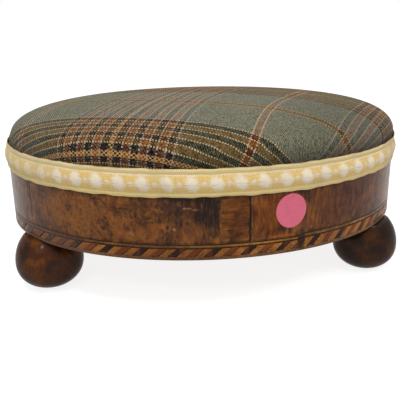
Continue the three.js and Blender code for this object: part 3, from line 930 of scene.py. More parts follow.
def press_out(points):
    """Simulates the cover: the sheet is pinned at its hem and the stuffing presses it out. Gives
    how far each point moved, in millimetres, at most most_press."""
    rows, columns = points.shape[:2]
    uv = np.zeros((rows, columns + 1, 2))
    sheet = grid_piece("cover_sheet", points, uv, None, poles=(False, True))
    start = np.zeros(len(sheet.data.vertices) * 3, np.float32)
    sheet.data.vertices.foreach_get("co", start)
    start = start.reshape(-1, 3)
    held = np.nonzero(start[:, 2] < (gimp_top - held_below) * MM)[0]
    sheet.vertex_groups.new(name="hem").add(held.tolist(), 1.0, "REPLACE")
    cloth = sheet.modifiers.new("tension", "CLOTH")
    cloth.settings.quality = 6
    cloth.settings.mass = 0.3
    cloth.settings.tension_stiffness = 60
    cloth.settings.compression_stiffness = 20
    cloth.settings.bending_stiffness = 4
    cloth.settings.use_pressure = True
    cloth.settings.uniform_pressure_force = 4.0
    cloth.settings.vertex_group_mass = "hem"
    cloth.settings.effector_weights.gravity = 0
    cloth.collision_settings.use_collision = False
    cloth.point_cache.frame_end = press_frames
    for step in range(1, press_frames + 1):
        bpy.context.scene.frame_set(step)
    pressed = sheet.evaluated_get(bpy.context.evaluated_depsgraph_get())
    after = np.zeros(len(start) * 3, np.float32)
    pressed.data.vertices.foreach_get("co", after)
    moved = (after.reshape(-1, 3) - start) / MM
    far = np.linalg.norm(moved, axis=1, keepdims=True)
    moved *= np.minimum(1, most_press / np.maximum(far, 1e-9))
    bpy.data.objects.remove(sheet)
    bpy.context.scene.frame_set(1)
    grid = np.zeros((rows, columns, 3))
    grid[:-1] = moved[:(rows - 1) * columns].reshape(rows - 1, columns, 3)
    grid[-1] = moved[-1]
    return grid


def finer(grid, rows, columns):
    """A ring grid of values read at more rows and columns, straight between its own."""
    own_rows, own_columns = grid.shape[:2]
    joined = np.concatenate([grid, grid[:, :1]], axis=1)
    row_place = np.linspace(0, own_rows - 1, rows)
    column_place = np.arange(columns) / columns * own_columns
    low_row = np.minimum(row_place.astype(int), own_rows - 2)
    low_column = column_place.astype(int)
    up = (row_place - low_row)[:, None, None]
    on = (column_place - low_column)[None, :, None]
    lower = joined[low_row][:, low_column] * (1 - on) + joined[low_row][:, low_column + 1] * on
    upper = joined[low_row + 1][:, low_column] * (1 - on) + joined[low_row + 1][:, low_column + 1] * on
    return lower * (1 - up) + upper * up


# How the plaid lies on the seat: millimetres of cloth from the middle of the top

cloth_turn = math.radians(25.0)
upright_shift, cross_shift = 17.2, 134.9
upright_draw, cross_draw = 1.017, 1.212
pull_reach = 60.0
edge_draw = 1.9
draw_starts, draw_ends = (8.0, 13.0), (16.0, 42.0)
draw_front = (0.3, 0.8)

# Hand pulls on the cloth: the place on the seat, then how far the upright and cross threads went
hand_pulls = (
    ((-100.0, -75.0), (8.0, 3.0)), ((-35.0, -75.0), (-3.0, 3.0)), ((35.0, -75.0), (5.0, -2.0)),
    ((100.0, -75.0), (3.0, 3.0)), ((-100.0, -10.0), (-14.0, 4.0)), ((-35.0, -10.0), (5.0, 0.0)),
    ((35.0, -10.0), (0.0, -5.0)), ((100.0, -10.0), (-5.0, 5.0)),
)


def cloth_places(surface):
    """The flat place of each point of the cloth: its distance over the seat from the middle, in its
    own direction, turned to the threads and drawn tight by a share each way. Each hand pull adds a
    soft hump e^-(distance/reach)^2, and just above the braid at the front the rows are drawn apart."""
    steps = np.linalg.norm(np.diff(surface[::-1], axis=0), axis=-1)
    reach = np.concatenate([np.zeros((1, surface.shape[1])), np.cumsum(steps, axis=0)])[::-1]
    angle = np.arctan2(surface[0, :, 1], surface[0, :, 0])[None, :]
    x, y = reach * np.cos(angle), reach * np.sin(angle)
    upright = upright_draw * (math.cos(cloth_turn) * x - math.sin(cloth_turn) * y) + upright_shift
    across = cross_draw * (math.sin(cloth_turn) * x + math.cos(cloth_turn) * y) + cross_shift
    for (pull_x, pull_y), (upright_pull, cross_pull) in hand_pulls:
        hump = np.exp(-((x - pull_x) ** 2 + (y - pull_y) ** 2) / pull_reach ** 2)
        upright = upright + upright_pull * hump
        across = across + cross_pull * hump
    above_braid = reach[:1] - reach - (gimp_top - hem_bottom)
    drawn = smooth_step(above_braid, *draw_starts) * (1 - smooth_step(above_braid, *draw_ends))
    across = across - edge_draw * drawn * smooth_step(-np.sin(angle), *draw_front)
    return np.stack([upright, across], axis=-1)


def plaid_cover(material):
    """The cover: the seat's surface with the tack pulls and the simulated fullness, closed with an
    inner face one cloth thickness below it."""
    columns, side_rows, crown_rows = 288, 10, 78
    rows = seat_rows(hem_bottom, side_rows, crown_rows)
    smooth = seat_surface(rows, columns)
    outer = tack_pull(smooth, columns)
    coarse = seat_rows(hem_bottom, 6, press_rows)
    sheet = tack_pull(seat_surface(coarse, press_columns), press_columns)
    moved = press_out(sheet)
    parts = finer(moved[:7], side_rows + 1, columns)[:-1], finer(moved[6:], crown_rows, columns)
    outer = outer + np.concatenate(parts)
    inner = seat_surface(rows, columns, cover_thickness) + (outer - smooth)
    points = np.concatenate([inner[::-1], outer])
    joined = np.concatenate([smooth, smooth[:, :1]], axis=1)
    places = cloth_places(joined)
    uv = np.concatenate([places[::-1], places])
    piece = dressed_grid("plaid_cover_cloth", "plaid_cloth", "plaid_cover", points, uv, material,
                         poles=(True, True), crease=60)
    return piece, smooth


# The plaid: width of a thread in millimetres, threads in one round of the twill and in one side of a
# gold check, then the yarns from the middle of a bundle to the middle of a field, counted in threads

thread = 0.4509
twill = 4.0
check = 3.0
half_sett = (
    (3, "gold"), (1, "gilt"), (9.5, "dark"), (2, "pale"),
    *(((9, "warm"), (2, "pale"), (9, "dark"), (2, "pale")) * 3),
    (89.5, "field"), (2, "edge"), (5, "line"),
)
upright_yarns = {
    "gold": (182, 142, 104), "gilt": (60, 44, 40), "dark": (38, 26, 42), "pale": (184, 166, 150),
    "warm": (134, 80, 56), "field": (92, 90, 74), "edge": (212, 180, 150), "line": (126, 54, 40),
}
cross_yarns = {
    "gold": (222, 174, 100), "gilt": (196, 148, 78), "dark": (32, 28, 8), "pale": (212, 192, 142),
    "warm": (138, 94, 18), "field": (150, 149, 128), "edge": (236, 186, 104), "line": (134, 98, 40),
}


def sett(f, count, look_of):
    """What a thread looks like, from its number: the sett is mirrored about the middle of each
    bundle. It is read in two halves, so that a narrow band keeps its place in the ramp."""
    half = sum(number for number, yarn in half_sett)
    middle = half / 2
    away = abs((count + half) % (2.0 * half) - half)
    near, far, place = [], [], 0
    for number, yarn in half_sett:
        if place < middle:
            near.append((place / middle, look_of[yarn]))
        if place + number > middle:
            far.append((max(place - middle, 0) / middle, look_of[yarn]))
        place += number
    near_look = f.ramp(away / middle, "CONSTANT", *near)
    far_look = f.ramp((away - middle) / middle, "CONSTANT", *far)
    return f.mix(away > middle, near_look, far_look)


def plaid_wool():
    """Woollen twill: upright and cross threads are counted off along the cloth, two over and two
    under, stepping by one thread in each row. The pale yarns are thick, and lie in pairs that go
    over and under together, so they show as rows of dots. The gold bands are woven in checks of
    three threads. The wool is heathered and napped, with painted shade at its front right and
    just above the braid, and painted light along its back."""
    f = Finish("plaid_wool", roughness=0.9, sheen_weight=0.17, sheen_roughness=0.4,
               specular_ior_level=0.04)
    upright, across = f.flat_place()
    yarn_wave = f.noise(f.vector(upright, across, 0.0), 0.5, 2.0) - 0.5
    warp_place = (upright + yarn_wave * 0.25) / thread
    weft_place = (across + yarn_wave * 0.25) / thread
    warp_count = f.math("FLOOR", warp_place)
    weft_count = f.math("FLOOR", weft_place)
    warp = sett(f, warp_count, upright_yarns)
    weft = sett(f, weft_count, cross_yarns)
    def marked(*yarns):
        return {yarn: (255, 255, 255) if yarn in yarns else (0, 0, 0) for yarn in upright_yarns}
    warp_thick = sett(f, warp_count, marked("pale", "edge")) > 0.5
    weft_thick = sett(f, weft_count, marked("pale", "edge")) > 0.5
    over = ((warp_count + weft_count) % twill) < twill / 2
    over_weft_pair = (warp_count % twill) < twill / 2
    over_warp_pair = (weft_count % twill) < twill / 2
    over = over * (1 - warp_thick) + over_warp_pair * warp_thick
    over = over * (1 - weft_thick) + over_weft_pair * weft_thick
    gold = (sett(f, warp_count, marked("gold")) + sett(f, weft_count, marked("gold", "gilt"))) > 0.5
    checks = f.math("FLOOR", warp_count / check) + f.math("FLOOR", weft_count / check)
    over = over * (1 - gold) + ((checks % 2.0) < 0.5) * gold
    heather = f.noise(f.vector(warp_count * 0.9, weft_count * 0.9, over * 7.0), 1.0, 2.0, 0.7)
    slub = f.noise(f.vector(upright * 0.7, across, 4.0), 0.8, 3.0, 0.7)
    nap = f.noise(f.vector(upright, across, 9.0), 0.7, 4.0, 0.75)
    place = f.solid_place()
    from_left, from_front, level = (f.part(place, axis) for axis in range(3))
    # Painted shade at the front right of the cloth
    painted_shade_front_right = f.fade(from_left, 15.0, 85.0) * (1 - f.fade(from_front, -62.0, -14.0))
    colour = f.layered(
        f.mix(over, weft, warp),
        (f.fade(heather, 0.48, 0.75) * 0.9, (255, 250, 228), "SOFT_LIGHT"),
        ((1 - f.fade(heather, 0.25, 0.5)) * 0.8, (0, 6, 0), "SOFT_LIGHT"),
        (f.fade(slub, 0.46, 0.7) * 0.5, (4, 8, 0), "SOFT_LIGHT"),
        (f.fade(nap, 0.49, 0.66) * 0.3, (172, 166, 138)),
        ((1 - f.fade(nap, 0.36, 0.5)) * 0.8, (0, 14, 6), "SOFT_LIGHT"),
        (painted_shade_front_right * 0.3, (42, 40, 24)),
        # Painted light along the back of the seat
        (f.fade(from_front, 24.0, 56.0) * 0.16, (236, 190, 116)),
        # Painted shade just above the braid
        ((1 - f.fade(level, gimp_top, gimp_top + 14.0)) * 0.32, (34, 30, 24)))
    height = over * (thread_round(warp_place) + 0.25) + (1 - over) * thread_round(weft_place)
    return f.done(colour, None, height, 0.12)


# Gimp braid

gimp_thickness = 1.0
motif_count = 57
motif_pitch = perimeter / motif_count
motif_half_run = 3.9
motif_half_height = 4.6
motif_point = 1.8
motif_middle = 7.9
motif_level = gimp_bottom + motif_middle
motif_shift = -0.43
motif_drift = 0.8
drift_start = 543.0
motif_lean = 0.2
dot_half_run = 1.7
dot_half_height = 1.5
cord_twist = 1.05
cord_lines = (1.15, 3.1, 12.9, 14.2, 15.3)
cord_radii = (1.15, 0.6, 0.55, 0.6, 0.95)
cord_rises = (0.3, 0.14, 0.12, 0.2, 0.3)
cord_slant = 2.6
cord_twist_depth = 0.12
rib_rise, rib_pitch = 0.06, 0.8
motif_rise = 0.24
knot_rise = 0.16
float_pitch = 0.95
float_depth = 0.25
pad_fullness = 0.75
relief_sink = 0.35
edge_thickness = 0.4
body_low, body_fall, body_full = 0.55, 0.25, 0.55
lie_below, lie_above = 1.5, 0.6
low_wander, high_wander = 0.28, 0.16
stand_off = 0.15


def gimp_lie(height):
    """Where the braid's back lies: just off the veneer low down, just off the cover above."""
    on_cover = np.maximum(side_offset(height), hem_offset)
    step = smooth_step(height, hem_bottom - lie_below, hem_bottom + lie_above)
    return on_cover * step + layer_gap


def motif_places(run, height):
    """How far a place is from the middle of its white oval and of its small dot, in half sizes. The
    oval's outline is |x|^p + |y|^p = 1 with p a little under 2, so its ends are a little pointed."""
    up = height - motif_level
    along = (run - motif_shift + motif_lean * up) % motif_pitch - motif_pitch / 2
    beside = (run - motif_shift + motif_pitch / 2) % motif_pitch - motif_pitch / 2
    x, y = np.abs(along / motif_half_run), np.abs(up / motif_half_height)
    oval_away = (x ** motif_point + y ** motif_point) ** (1 / motif_point)
    dot_away = np.hypot(beside / dot_half_run, up / dot_half_height)
    return oval_away, dot_away


def gimp_relief(run, height):
    """Height of the braid's face over its ground: round cords along both edges with a slanting
    twist, raised ovals crossed by long floats, and small knots between them."""
    above = height - gimp_bottom
    relief = rib_rise * np.sin(TURN * above / rib_pitch)
    for level, radius, rise in zip(cord_lines, cord_radii, cord_rises):
        across = np.clip(1 - ((above - level) / radius) ** 2, 0, 1)
        wound = np.cos(TURN * (run / cord_twist + (above - level) / cord_slant))
        twist = 1 - cord_twist_depth * wound ** 2
        relief = np.maximum(relief, rise * np.sqrt(across) * twist)
    oval_away, dot_away = motif_places(run, height)
    pad = motif_rise * np.clip(1 - oval_away ** 2, 0, 1) ** pad_fullness
    raised = np.abs(np.cos(math.pi * (height - motif_level) / float_pitch))
    floats = 1 - float_depth + float_depth * raised
    knot = knot_rise * np.clip(1 - dot_away ** 2, 0, 1) ** pad_fullness
    return np.maximum(relief, np.maximum(pad * floats, knot))


def gimp_braid(material):
    """The braid: a loop up its relief and down its back, carried round the oval. It is fullest in
    the middle of its width, its edges wander a little, and it stands off unevenly."""
    columns, face_rows = 1480, 46
    run = np.arange(columns) / columns * perimeter
    worked = run - motif_drift * np.sin(TURN * 4 * (run - drift_start) / perimeter)
    share = np.linspace(0, 1, face_rows)
    low_edge = low_wander * ripple(run, (9, 23, 41, 67), 1)
    high_edge = high_wander * ripple(run, (13, 29, 47, 71), 2)
    height = gimp_bottom + share[:, None] * (gimp_top - gimp_bottom)
    moved = height + low_edge[None, :] * (1 - share[:, None]) + high_edge[None, :] * share[:, None]
    stand = stand_off * ripple(run, (7, 19, 37), 3)[None, :] + stand_off
    body = body_low - body_fall * share[:, None] + body_full * np.sin(math.pi * share[:, None])
    body = gimp_thickness * body
    face = gimp_lie(moved) + body + stand + gimp_relief(worked[None, :], height) - relief_sink
    face[0] = gimp_lie(moved[0]) + edge_thickness
    face[-1] = gimp_lie(moved[-1]) + edge_thickness
    outer = on_oval(run[None, :], face, moved)
    back_rows = [-1, face_rows // 2, face_rows // 4, 0]
    edges_in = np.array([0.1, 0, 0, 0.1])[:, None]
    inner = on_oval(run[None, :], gimp_lie(moved[back_rows]) + edges_in, moved[back_rows])
    points = settled(np.concatenate([outer, inner]))
    marks = np.append(worked, worked[0] + perimeter)
    down = np.concatenate([height[:, 0], height[back_rows, 0], height[:1, 0]])
    uv = side_by_side(marks[None, :], down[:, None])
    return dressed_grid("gimp_braid_woven", "gimp", "gimp_braid", points, uv, material,
                        loop=True, crease=70)


def gimp_yarn():
    """Gold-cream ground with threads along it, cream cords at the edges, white ovals with frayed
    rows and knots between them. Towards both ends of the front the white is rubbed and dulled by
    dust, with a painted grey sheen."""
    f = Finish("gimp_yarn", roughness=0.85, sheen_weight=0.1, specular_ior_level=0.08)
    run, height = f.flat_place()
    up = height - float(motif_level)
    along = (run - motif_shift + up * motif_lean) % float(motif_pitch) - float(motif_pitch / 2)
    beside = (run - motif_shift + float(motif_pitch / 2)) % float(motif_pitch) - float(motif_pitch / 2)
    row = f.math("FLOOR", up / 0.5)
    fray = (f.noise(f.vector(run * 0.12, row * 0.83, 0.0), 1.0, 1.0) - 0.5) * 0.7
    fluff = (f.noise(f.vector(run, height, 0.0), 0.5, 2.0) - 0.5) * 0.7
    def inside(across, half_run, half_height):
        x, y = abs(across / half_run), abs(up / half_height)
        powers = f.math("POWER", x, motif_point) + f.math("POWER", y, motif_point)
        away = f.math("POWER", powers, 1 / motif_point)
        return 1 - f.fade(away + fray + fluff, 0.6, 1.25)
    # Dust and a painted grey sheen towards both ends of the front
    dust_and_sheen = f.math("MAXIMUM", blot(f, run, height, (-166.0, 82.0, 62.0, 60.0), 0.0),
                   blot(f, run, height, (-14.0, 82.0, 44.0, 60.0), 0.0))
    oval_white = inside(along, motif_half_run, motif_half_height) * (1 - dust_and_sheen * 0.45)
    knot_white = inside(beside, dot_half_run, dot_half_height) * (1 - dust_and_sheen * 0.6)
    link = f.band(up, -0.3, 0.4, 1.1) * 0.55
    slack = f.fade(f.noise(f.vector(run, 0.0, 5.0), 0.2), 0.4, 0.6)
    crossing_thread = f.band(up, -0.3, 0.08, 0.3) * slack
    floats = f.fade(abs((up / float_pitch + 0.5) % 1.0 - 0.5), 0.36, 0.5)
    ground_noise = f.noise(f.vector(run * 0.7, height * 2.2, 3.0), 1.0, 3.0, 0.6)
    ground = f.ramp(ground_noise, "EASE", (0.3, (216, 176, 98)), (0.52, (244, 210, 132)),
                    (0.75, (250, 226, 164)))
    above = up + motif_middle
    cords = f.math("MAXIMUM", 1 - f.fade(above, 2.6, 3.4), f.fade(above, 11.9, 13.4))
    twist = f.fade(f.math("SINE", (run / cord_twist + up / cord_slant) * TURN), -0.4, 1.0)
    worn = f.fade(f.noise(f.vector(run, 2.0, 3.0), 0.12), 0.42, 0.56)
    ends = f.fade(f.math("SINE", (run / 1.15) * TURN), -0.2, 0.6) * worn
    stitched = f.math("MAXIMUM", f.band(up, 4.9, 0.3, 0.7), f.band(up, 7.6, 0.3, 0.8))
    rosy = f.noise(f.vector(run, height, 13.0), 0.16, 3.0, 0.6)
    grey = f.noise(f.vector(run, height, 19.0), 0.07, 2.0)
    thread_run = f.noise(f.vector(run * 1.2, height * 5.0, 1.0), 1.0, 3.0)
    colour = f.layered(
        f.mix(cords, ground, f.mix(twist, rgb(232, 203, 130), rgb(244, 224, 164))),
        (stitched * (ends * 0.7 + 0.3), (255, 240, 206)),
        (f.band(up, 6.2, 0.3, 1.2) * 0.12, (216, 178, 122)),
        (f.band(above, 13.6, 0.1, 0.35) * 0.35, (190, 150, 110)),
        (link, (246, 228, 192)),
        (knot_white, (248, 228, 198)),
        (oval_white * 0.94, (255, 243, 220)),
        (oval_white * floats * 0.3, (214, 194, 158)),
        (crossing_thread * 0.5, (156, 136, 104)),
        (f.fade(rosy, 0.5, 0.7) * 0.3, (240, 202, 176)),
        (f.fade(grey, 0.5, 0.75) * 0.3, (196, 180, 142)),
        (dust_and_sheen * 0.25, (206, 194, 160)),
        (f.fade(thread_run, 0.5, 0.75) * 0.25, (186, 156, 104)))
    return f.done(colour, None, thread_run, 0.14)


# Under the cover

webbing_thickness = 1.2
wadding_thickness = 4.0
hessian_thickness = 0.8
selvedge_round = 0.35
least_rim = 0.02
pad_slack = 0.25
hair_lumps, cotton_lumps = 0.2, 0.12
wadding_clear = 0.2
hessian_fold_over = 1.0
seat_layers_columns = 160
lump_waves = 6
lump_lengths = (14, 40)


def strip_height(place, crossings, first_over):
    """Height of a webbing strip along its run: raised over every second crossing, with smooth ramps."""
    rise = np.zeros_like(place)
    half = webbing_width / 2 + layer_gap
    ramp = webbing_width / 8
    for index, crossing in enumerate(crossings):
        if (index % 2 == 0) == first_over:
            away = np.abs(place - crossing)
            rise = rise + (webbing_thickness + layer_gap) * (1 - smooth_step(away, half, half + ramp))
    return frame_top + rise


def webbing_strip(node, across, crossings, first_over, lengthwise, material):
    """One strip: a flat woven band with rounded selvedges, its ends trimmed to the oval's curve."""
    low, high = box_mm(node)
    axis, side = (0, 1) if lengthwise else (1, 0)
    end = max(-low[axis], high[axis])
    semi = (half_length, half_width) if lengthwise else (half_width, half_length)
    inset = semi[0] - end
    half = webbing_width / 2
    rows = 14
    width = np.concatenate([np.linspace(-half, half, rows), np.linspace(half, -half, rows)])
    thick = np.concatenate([np.zeros(rows), np.full(rows, webbing_thickness)])
    edge = selvedge_round * (np.abs(width) > half - 0.01)
    thick = thick + np.where(thick > 0, -edge, edge)
    columns = 120
    share = np.linspace(-1, 1, columns)
    rim = 1 - ((across + width) / (semi[1] - inset)) ** 2
    reach = (semi[0] - inset) * np.sqrt(np.clip(rim, least_rim, 1))
    place = share[None, :] * np.minimum(reach, end)[:, None]
    height = strip_height(place, crossings, first_over) + thick[:, None]
    points = np.zeros(place.shape + (3,))
    points[..., axis] = place
    points[..., side] = (across + width)[:, None] if lengthwise else across + width[:, None]
    points[..., 2] = height
    closed = np.concatenate([place, place[:1]])
    uv = side_by_side(closed, np.concatenate([width, width[:1]])[:, None])
    if not lengthwise:
        points, uv = points[::-1], uv[::-1]
    piece = dressed_grid(node + "_jute", "jute_webbing", node, points, uv, material,
                         ring=False, loop=True, capped=True)
    strip_area(across, half, semi, inset, end)


def strip_area(across, half, semi, inset, end):
    """Flat area of a strip with curved ends, in square metres."""
    width = np.linspace(across - half, across + half, 200)
    rim = np.sqrt(np.clip(1 - (width / (semi[1] - inset)) ** 2, least_rim, 1))
    return float(np.mean(np.minimum((semi[0] - inset) * rim, end)) * 2 * 2 * half * MM * MM)


def woven_jute(name, yarn, pale, dark):
    """Plain weave of coarse yarn: over and under change at every thread, with painted shade between
    the yarns.
    """
    f = Finish(name, roughness=0.9, specular_ior_level=0.15)
    along, across = f.flat_place()
    uneven = (f.noise(f.vector(along, across, 0.0), 0.4, 3.0) - 0.5) * 0.5
    one, two = (along + uneven) / yarn, (across + uneven) / yarn
    over = ((f.math("FLOOR", one) + f.math("FLOOR", two)) % 2.0) < 1.0
    height = over * thread_round(one) + (1 - over) * thread_round(two)
    fibre = f.noise(f.vector(along, across, 5.0), 1.2, 4.0, 0.7)
    colour = f.mix(f.fade(fibre, 0.3, 0.7), dark, pale)
    # Painted shade in the hollows between the yarns
    colour = f.mix((1 - f.fade(height, 0.1, 0.5)) * 0.6, colour, rgb(70, 54, 34))
    return f.done(colour, None, height, yarn * 0.3)


def hessian_sheet(material):
    """Hessian over the webbing: flat in the middle, folded down to the ring at its border. The
    profile goes out along the underside, over the edge and back along the top."""
    edge = box_mm("hessian")[1][0] - half_length
    turn_in, fold = 1.5, 2.7
    flat_in = 24
    top, bottom = hessian_bottom + layer_gap, frame_top
    reach = np.linspace(0, 1, flat_in)
    size = np.concatenate([reach, [1, 1]])
    offset = np.concatenate([reach * (edge - turn_in - fold), [edge - turn_in, edge]])
    level = np.concatenate([np.full(flat_in, top), [bottom, bottom]])
    size = np.concatenate([size, size[::-1]])
    offset = np.concatenate([offset, offset[::-1]])
    level = np.concatenate([level, level[::-1] + hessian_thickness])
    columns = seat_layers_columns
    points = oval_rings(np.arange(columns + 1) / columns, size, offset, level)
    piece = dressed_grid("hessian_sheet", "hessian_cloth", "hessian", points[:, :-1], points[..., :2],
                         material, poles=(True, True))
    out = edge + hessian_fold_over
    width, length = 2 * (half_width + out), 2 * (half_length + out)
    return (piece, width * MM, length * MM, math.pi / 4 * width * length * MM * MM)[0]


def lumps(points, height, seed):
    """Soft unevenness of a filling: a sum of sines, each in its own direction across the seat."""
    draw = np.random.default_rng(seed)
    total = 0
    for wave in range(lump_waves):
        angle = draw.random() * TURN
        length = draw.uniform(*lump_lengths)
        along = points[..., 0] * math.cos(angle) + points[..., 1] * math.sin(angle)
        total = total + np.sin(TURN * (along / length + draw.random()))
    moved = points.copy()
    moved[..., 2] += height * total / lump_waves
    return moved


def seen_flat(points):
    """UV of a ring grid as it is seen from above, closed by its first column."""
    return np.concatenate([points, points[:, :1]], axis=1)[..., :2]


def stuffing_pad(material):
    """Curled horsehair: a full pad, flat below, its top lumpy by a fraction of a millimetre."""
    bottom = box_mm("horsehair_stuffing")[0][2]
    depth = cover_thickness + wadding_thickness + 2 * layer_gap + pad_slack
    columns = seat_layers_columns
    top = seat_surface(seat_rows(bottom, 6, 44), columns, depth)
    top[7:] = lumps(top[7:], hair_lumps, 5)
    middle = np.zeros((1, columns, 3))
    middle[..., 2] = bottom
    sole = top[0][None] * np.linspace(0.2, 0.99, 5)[:, None, None]
    sole[..., 2] = bottom
    points = np.concatenate([middle, sole, top])
    piece = dressed_grid("horsehair_pad", "horsehair", "horsehair_stuffing", points, seen_flat(points),
                         material, poles=(True, True))
    return piece


def wadding_layer(material):
    """Cotton wadding: a soft shell over the stuffing."""
    rows = seat_rows(frame_top + wadding_clear, 6, 44)
    columns = seat_layers_columns
    outer = seat_surface(rows, columns, cover_thickness + layer_gap)
    inner = seat_surface(rows, columns, cover_thickness + layer_gap + wadding_thickness)
    outer[8:] = lumps(outer[8:], cotton_lumps, 6)
    points = np.concatenate([inner[::-1], outer])
    piece = dressed_grid("cotton_wadding_layer", "cotton", "cotton_wadding", points, seen_flat(points),
                         material, poles=(True, True))
    return piece


def curled_hair():
    f = Finish("curled_hair", roughness=0.8, specular_ior_level=0.3)
    place = f.solid_place()
    curl = f.noise(place, 0.25, 5.0, 0.7, 3.0)
    strand = abs((curl * 14.0) % 1.0 - 0.5) * 2.0
    colour = f.mix(f.fade(strand, 0.2, 0.8), rgb(28, 22, 19), rgb(74, 60, 50))
    return f.done(colour, None, strand, 0.5)


def cotton_fleece():
    f = Finish("cotton_fleece", roughness=0.95, specular_ior_level=0.1)
    place = f.solid_place()
    tuft = f.noise(place, 0.3, 6.0, 0.75, 1.5)
    colour = f.mix(f.fade(tuft, 0.35, 0.65), rgb(206, 198, 182), rgb(238, 234, 224))
    return f.done(colour, None, tuft, 0.6)


def pine():
    """Sawn pine: growth rings seen as slightly wavy bands, darker pores and dust."""
    f = Finish("sawn_pine", roughness=0.75, specular_ior_level=0.25)
    place = f.solid_place()
    bend = f.noise(f.stretched(place, 0.2, 1.0, 1.0), 0.05, 3.0)
    rings = ((f.part(place, 1) + bend * 26.0) / 4.2) % 1.0
    late = f.fade(rings, 0.55, 0.95) * (1 - f.fade(rings, 0.96, 1.0))
    fibre = f.noise(f.stretched(place, 0.08, 1.6, 1.6), 1.0, 4.0, 0.6)
    dust = f.noise(place, 0.03, 4.0, 0.6)
    colour = f.layered(
        rgb(186, 150, 98),
        (late * 0.7, (140, 94, 50)),
        (f.fade(fibre, 0.45, 0.7) * 0.3, (120, 88, 54)),
        (f.fade(dust, 0.45, 0.7) * 0.5, (92, 70, 50)))
    return f.done(colour, None, fibre, 0.12)


# Building the piece

wood = polished_wood()
for foot_name in foot_names:
    turned_foot(foot_name, wood)

burr_finish = burr("burr_walnut")
cross_finish = burr("burr_walnut_cross", cross_grain=True)
narrow_leaf = 4
for leaf in range(len(leaf_joints)):
    veneer_leaf(leaf, cross_finish if leaf == narrow_leaf else burr_finish)

dark_line = plain_line("dark_line", ((30, 21, 18), (40, 27, 21), (60, 38, 26)))
ochre_line = plain_line("ochre_line", ((84, 50, 26), (134, 86, 40), (176, 128, 66)))
inlaid_line("stringing_ochre", ochre_bottom, ochre_top, "ochre_inlay", ochre_line)
inlaid_line("stringing_dark", ochre_top, leaf_bottom, "dark_inlay", dark_line)
dark_tones = np.where(np.arange(rope_count) % 2 == 1, tones_of["dark"], tones_of["brown"])
light_tones = np.full(rope_count, tones_of["ochre"])
dark_comb_finish = inlay_wood("rope_dark_woods", (34, 24, 20), (40, 27, 21))
light_comb_finish = inlay_wood("rope_pale_woods", (80, 52, 34), (136, 98, 66))
rope_comb("rope_band_dark", rope_start - rope_height, rope_bottom + saw_gap, rope_top,
          (rope_top, ochre_bottom), dark_tones, dark_comb_finish, 7)
rope_comb("rope_band_light", rope_start + rope_step / 2 - rope_height, rope_bottom, rope_top - saw_gap,
          (frieze_bottom, rope_bottom), light_tones, light_comb_finish, 8)

cover, cover_surface = plaid_cover(plaid_wool())
gimp = gimp_braid(gimp_yarn())
paper_disc(pink_paper())

jute = woven_jute("jute_web", 1.3, rgb(176, 146, 98), rgb(128, 100, 62))
sackcloth = woven_jute("hessian_weave", 1.6, rgb(184, 156, 108), rgb(136, 110, 70))
long_places = [middle_mm(f"webbing_long_{number}")[1] for number in (1, 2)]
cross_places = [middle_mm(f"webbing_cross_{number}")[0] for number in (1, 2, 3)]
for index, place in enumerate(long_places):
    webbing_strip(f"webbing_long_{index + 1}", place, cross_places, index % 2 == 0, True, jute)
for index, place in enumerate(cross_places):
    webbing_strip(f"webbing_cross_{index + 1}", place, long_places, index % 2 == 1, False, jute)
hessian_sheet(sackcloth)
stuffing_pad(curled_hair())
wadding_layer(cotton_fleece())

pine_finish = pine()
for node_name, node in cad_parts.items():
    if node_name.startswith("ring_") or node_name == "base_board":
        node.data.materials.clear()
        node.data.materials.append(pine_finish)


# Camera, light and floor. The camera's turns are in radians, its place in millimetres, its shift in
# shares of the picture's width

camera_yaw, camera_pitch, camera_roll = 0.11914, 0.30009, 0.00585
camera_place = (-37.2, -393.26, 174.37)
camera_lens = 49.88
camera_shift = (-0.0449, -0.0506)

# Each lamp's name, place, the point it is turned to, side and power, in metres and watts
lamps = (
    ("key", (-0.26, -0.45, 1.45), (0, 0, 0.08), 0.42, 8.4),
    ("front", (-0.494, -1.061, 1.055), (0, 0, 0.04), 0.16, 2.1),
    ("fill", (0.5, -0.75, 1.15), (0, 0, 0.08), 0.3, 2.3),
    ("side", (0.963, -0.426, 0.93), (0, 0, 0.04), 0.15, 1.7),
)
room_light = 0.42
floor_grey, floor_white, floor_glow = 0.4, 0.84, 0.15


def placed(right, up, back, at):
    """The matrix of a camera or lamp from its three axes and its place."""
    return Matrix(np.vstack([np.column_stack([right, up, back, at]), [0, 0, 0, 1]]).tolist())


def place_camera():
    """The photograph's camera: place, turn and framing."""
    data = bpy.data.cameras.new("camera")
    camera = bpy.data.objects.new("camera", data)
    bpy.context.scene.collection.objects.link(camera)
    yaw, pitch, roll = camera_yaw, camera_pitch, camera_roll
    level = math.cos(pitch)
    ahead = np.array([math.sin(yaw) * level, math.cos(yaw) * level, -math.sin(pitch)])
    right = np.array([math.cos(yaw), -math.sin(yaw), 0])
    down = np.cross(ahead, right)
    right, down = (math.cos(roll) * right + math.sin(roll) * down,
                   math.cos(roll) * down - math.sin(roll) * right)
    camera.matrix_world = placed(right, -down, -ahead, np.array(camera_place) * MM)
    data.sensor_width = 36.0
    data.lens = camera_lens
    data.shift_x, data.shift_y = camera_shift
    data.clip_start, data.clip_end = 0.01, 20.0
    bpy.context.scene.camera = camera


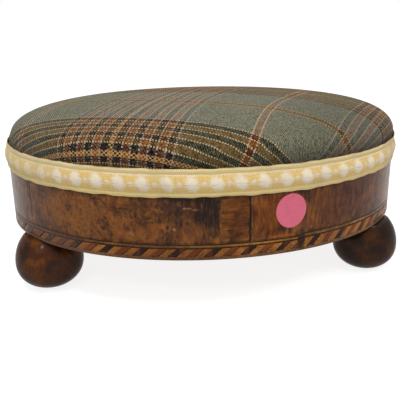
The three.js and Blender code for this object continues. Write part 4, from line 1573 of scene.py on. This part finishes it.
def soft_lamp(name, at, aim, size, watts):
    """A square soft box at a place, turned to a point."""
    data = bpy.data.lights.new(name, "AREA")
    data.size = size
    data.energy = watts
    lamp = bpy.data.objects.new(name, data)
    bpy.context.scene.collection.objects.link(lamp)
    back = np.array(at, float) - np.array(aim, float)
    back /= np.linalg.norm(back)
    side = np.cross([0, 0, 1], back)
    side /= np.linalg.norm(side)
    up = np.cross(back, side)
    lamp.matrix_world = placed(side, up, back, at)


def white_to_the_eye(nodes, links, seen, lit):
    """A strength that is one where it is looked at, straight, in a gloss or through glass, and
    another for its light."""
    path = nodes.new("ShaderNodeLightPath")
    looked_at = path.outputs["Is Camera Ray"]
    for ray in ("Is Glossy Ray", "Is Transmission Ray"):
        either = nodes.new("ShaderNodeMath")
        either.operation = "MAXIMUM"
        links.new(looked_at, either.inputs[0])
        links.new(path.outputs[ray], either.inputs[1])
        looked_at = either.outputs[0]
    strength = nodes.new("ShaderNodeMapRange")
    strength.inputs["To Min"].default_value = lit
    strength.inputs["To Max"].default_value = seen
    links.new(looked_at, strength.inputs["Value"])
    return strength.outputs[0]


def studio():
    """A white room: soft light from all round, four soft boxes, and a white floor with a shadow."""
    world = bpy.data.worlds.new("studio")
    bpy.context.scene.world = world
    world.use_nodes = True
    sky = world.node_tree.nodes["Background"]
    sky.inputs["Color"].default_value = (1, 1, 1, 1)
    strength = white_to_the_eye(world.node_tree.nodes, world.node_tree.links, 1.0, room_light)
    world.node_tree.links.new(strength, sky.inputs["Strength"])
    for lamp in lamps:
        soft_lamp(*lamp)
    bpy.ops.mesh.primitive_plane_add(size=12)
    floor = bpy.context.object
    floor.name = "floor"
    paper = bpy.data.materials.new("white_floor")
    paper.use_nodes = True
    nodes, links = paper.node_tree.nodes, paper.node_tree.links
    shader = nodes["Principled BSDF"]
    shader.inputs["Base Color"].default_value = (floor_grey, floor_grey, floor_grey, 1)
    shader.inputs["Roughness"].default_value = 1.0
    shader.inputs["Specular IOR Level"].default_value = 0.0
    shader.inputs["Emission Color"].default_value = (1, 1, 1, 1)
    glow = white_to_the_eye(nodes, links, floor_white, floor_glow)
    links.new(glow, shader.inputs["Emission Strength"])
    floor.data.materials.append(paper)


place_camera()
studio()
bpy.context.scene.view_settings.view_transform = "Standard"
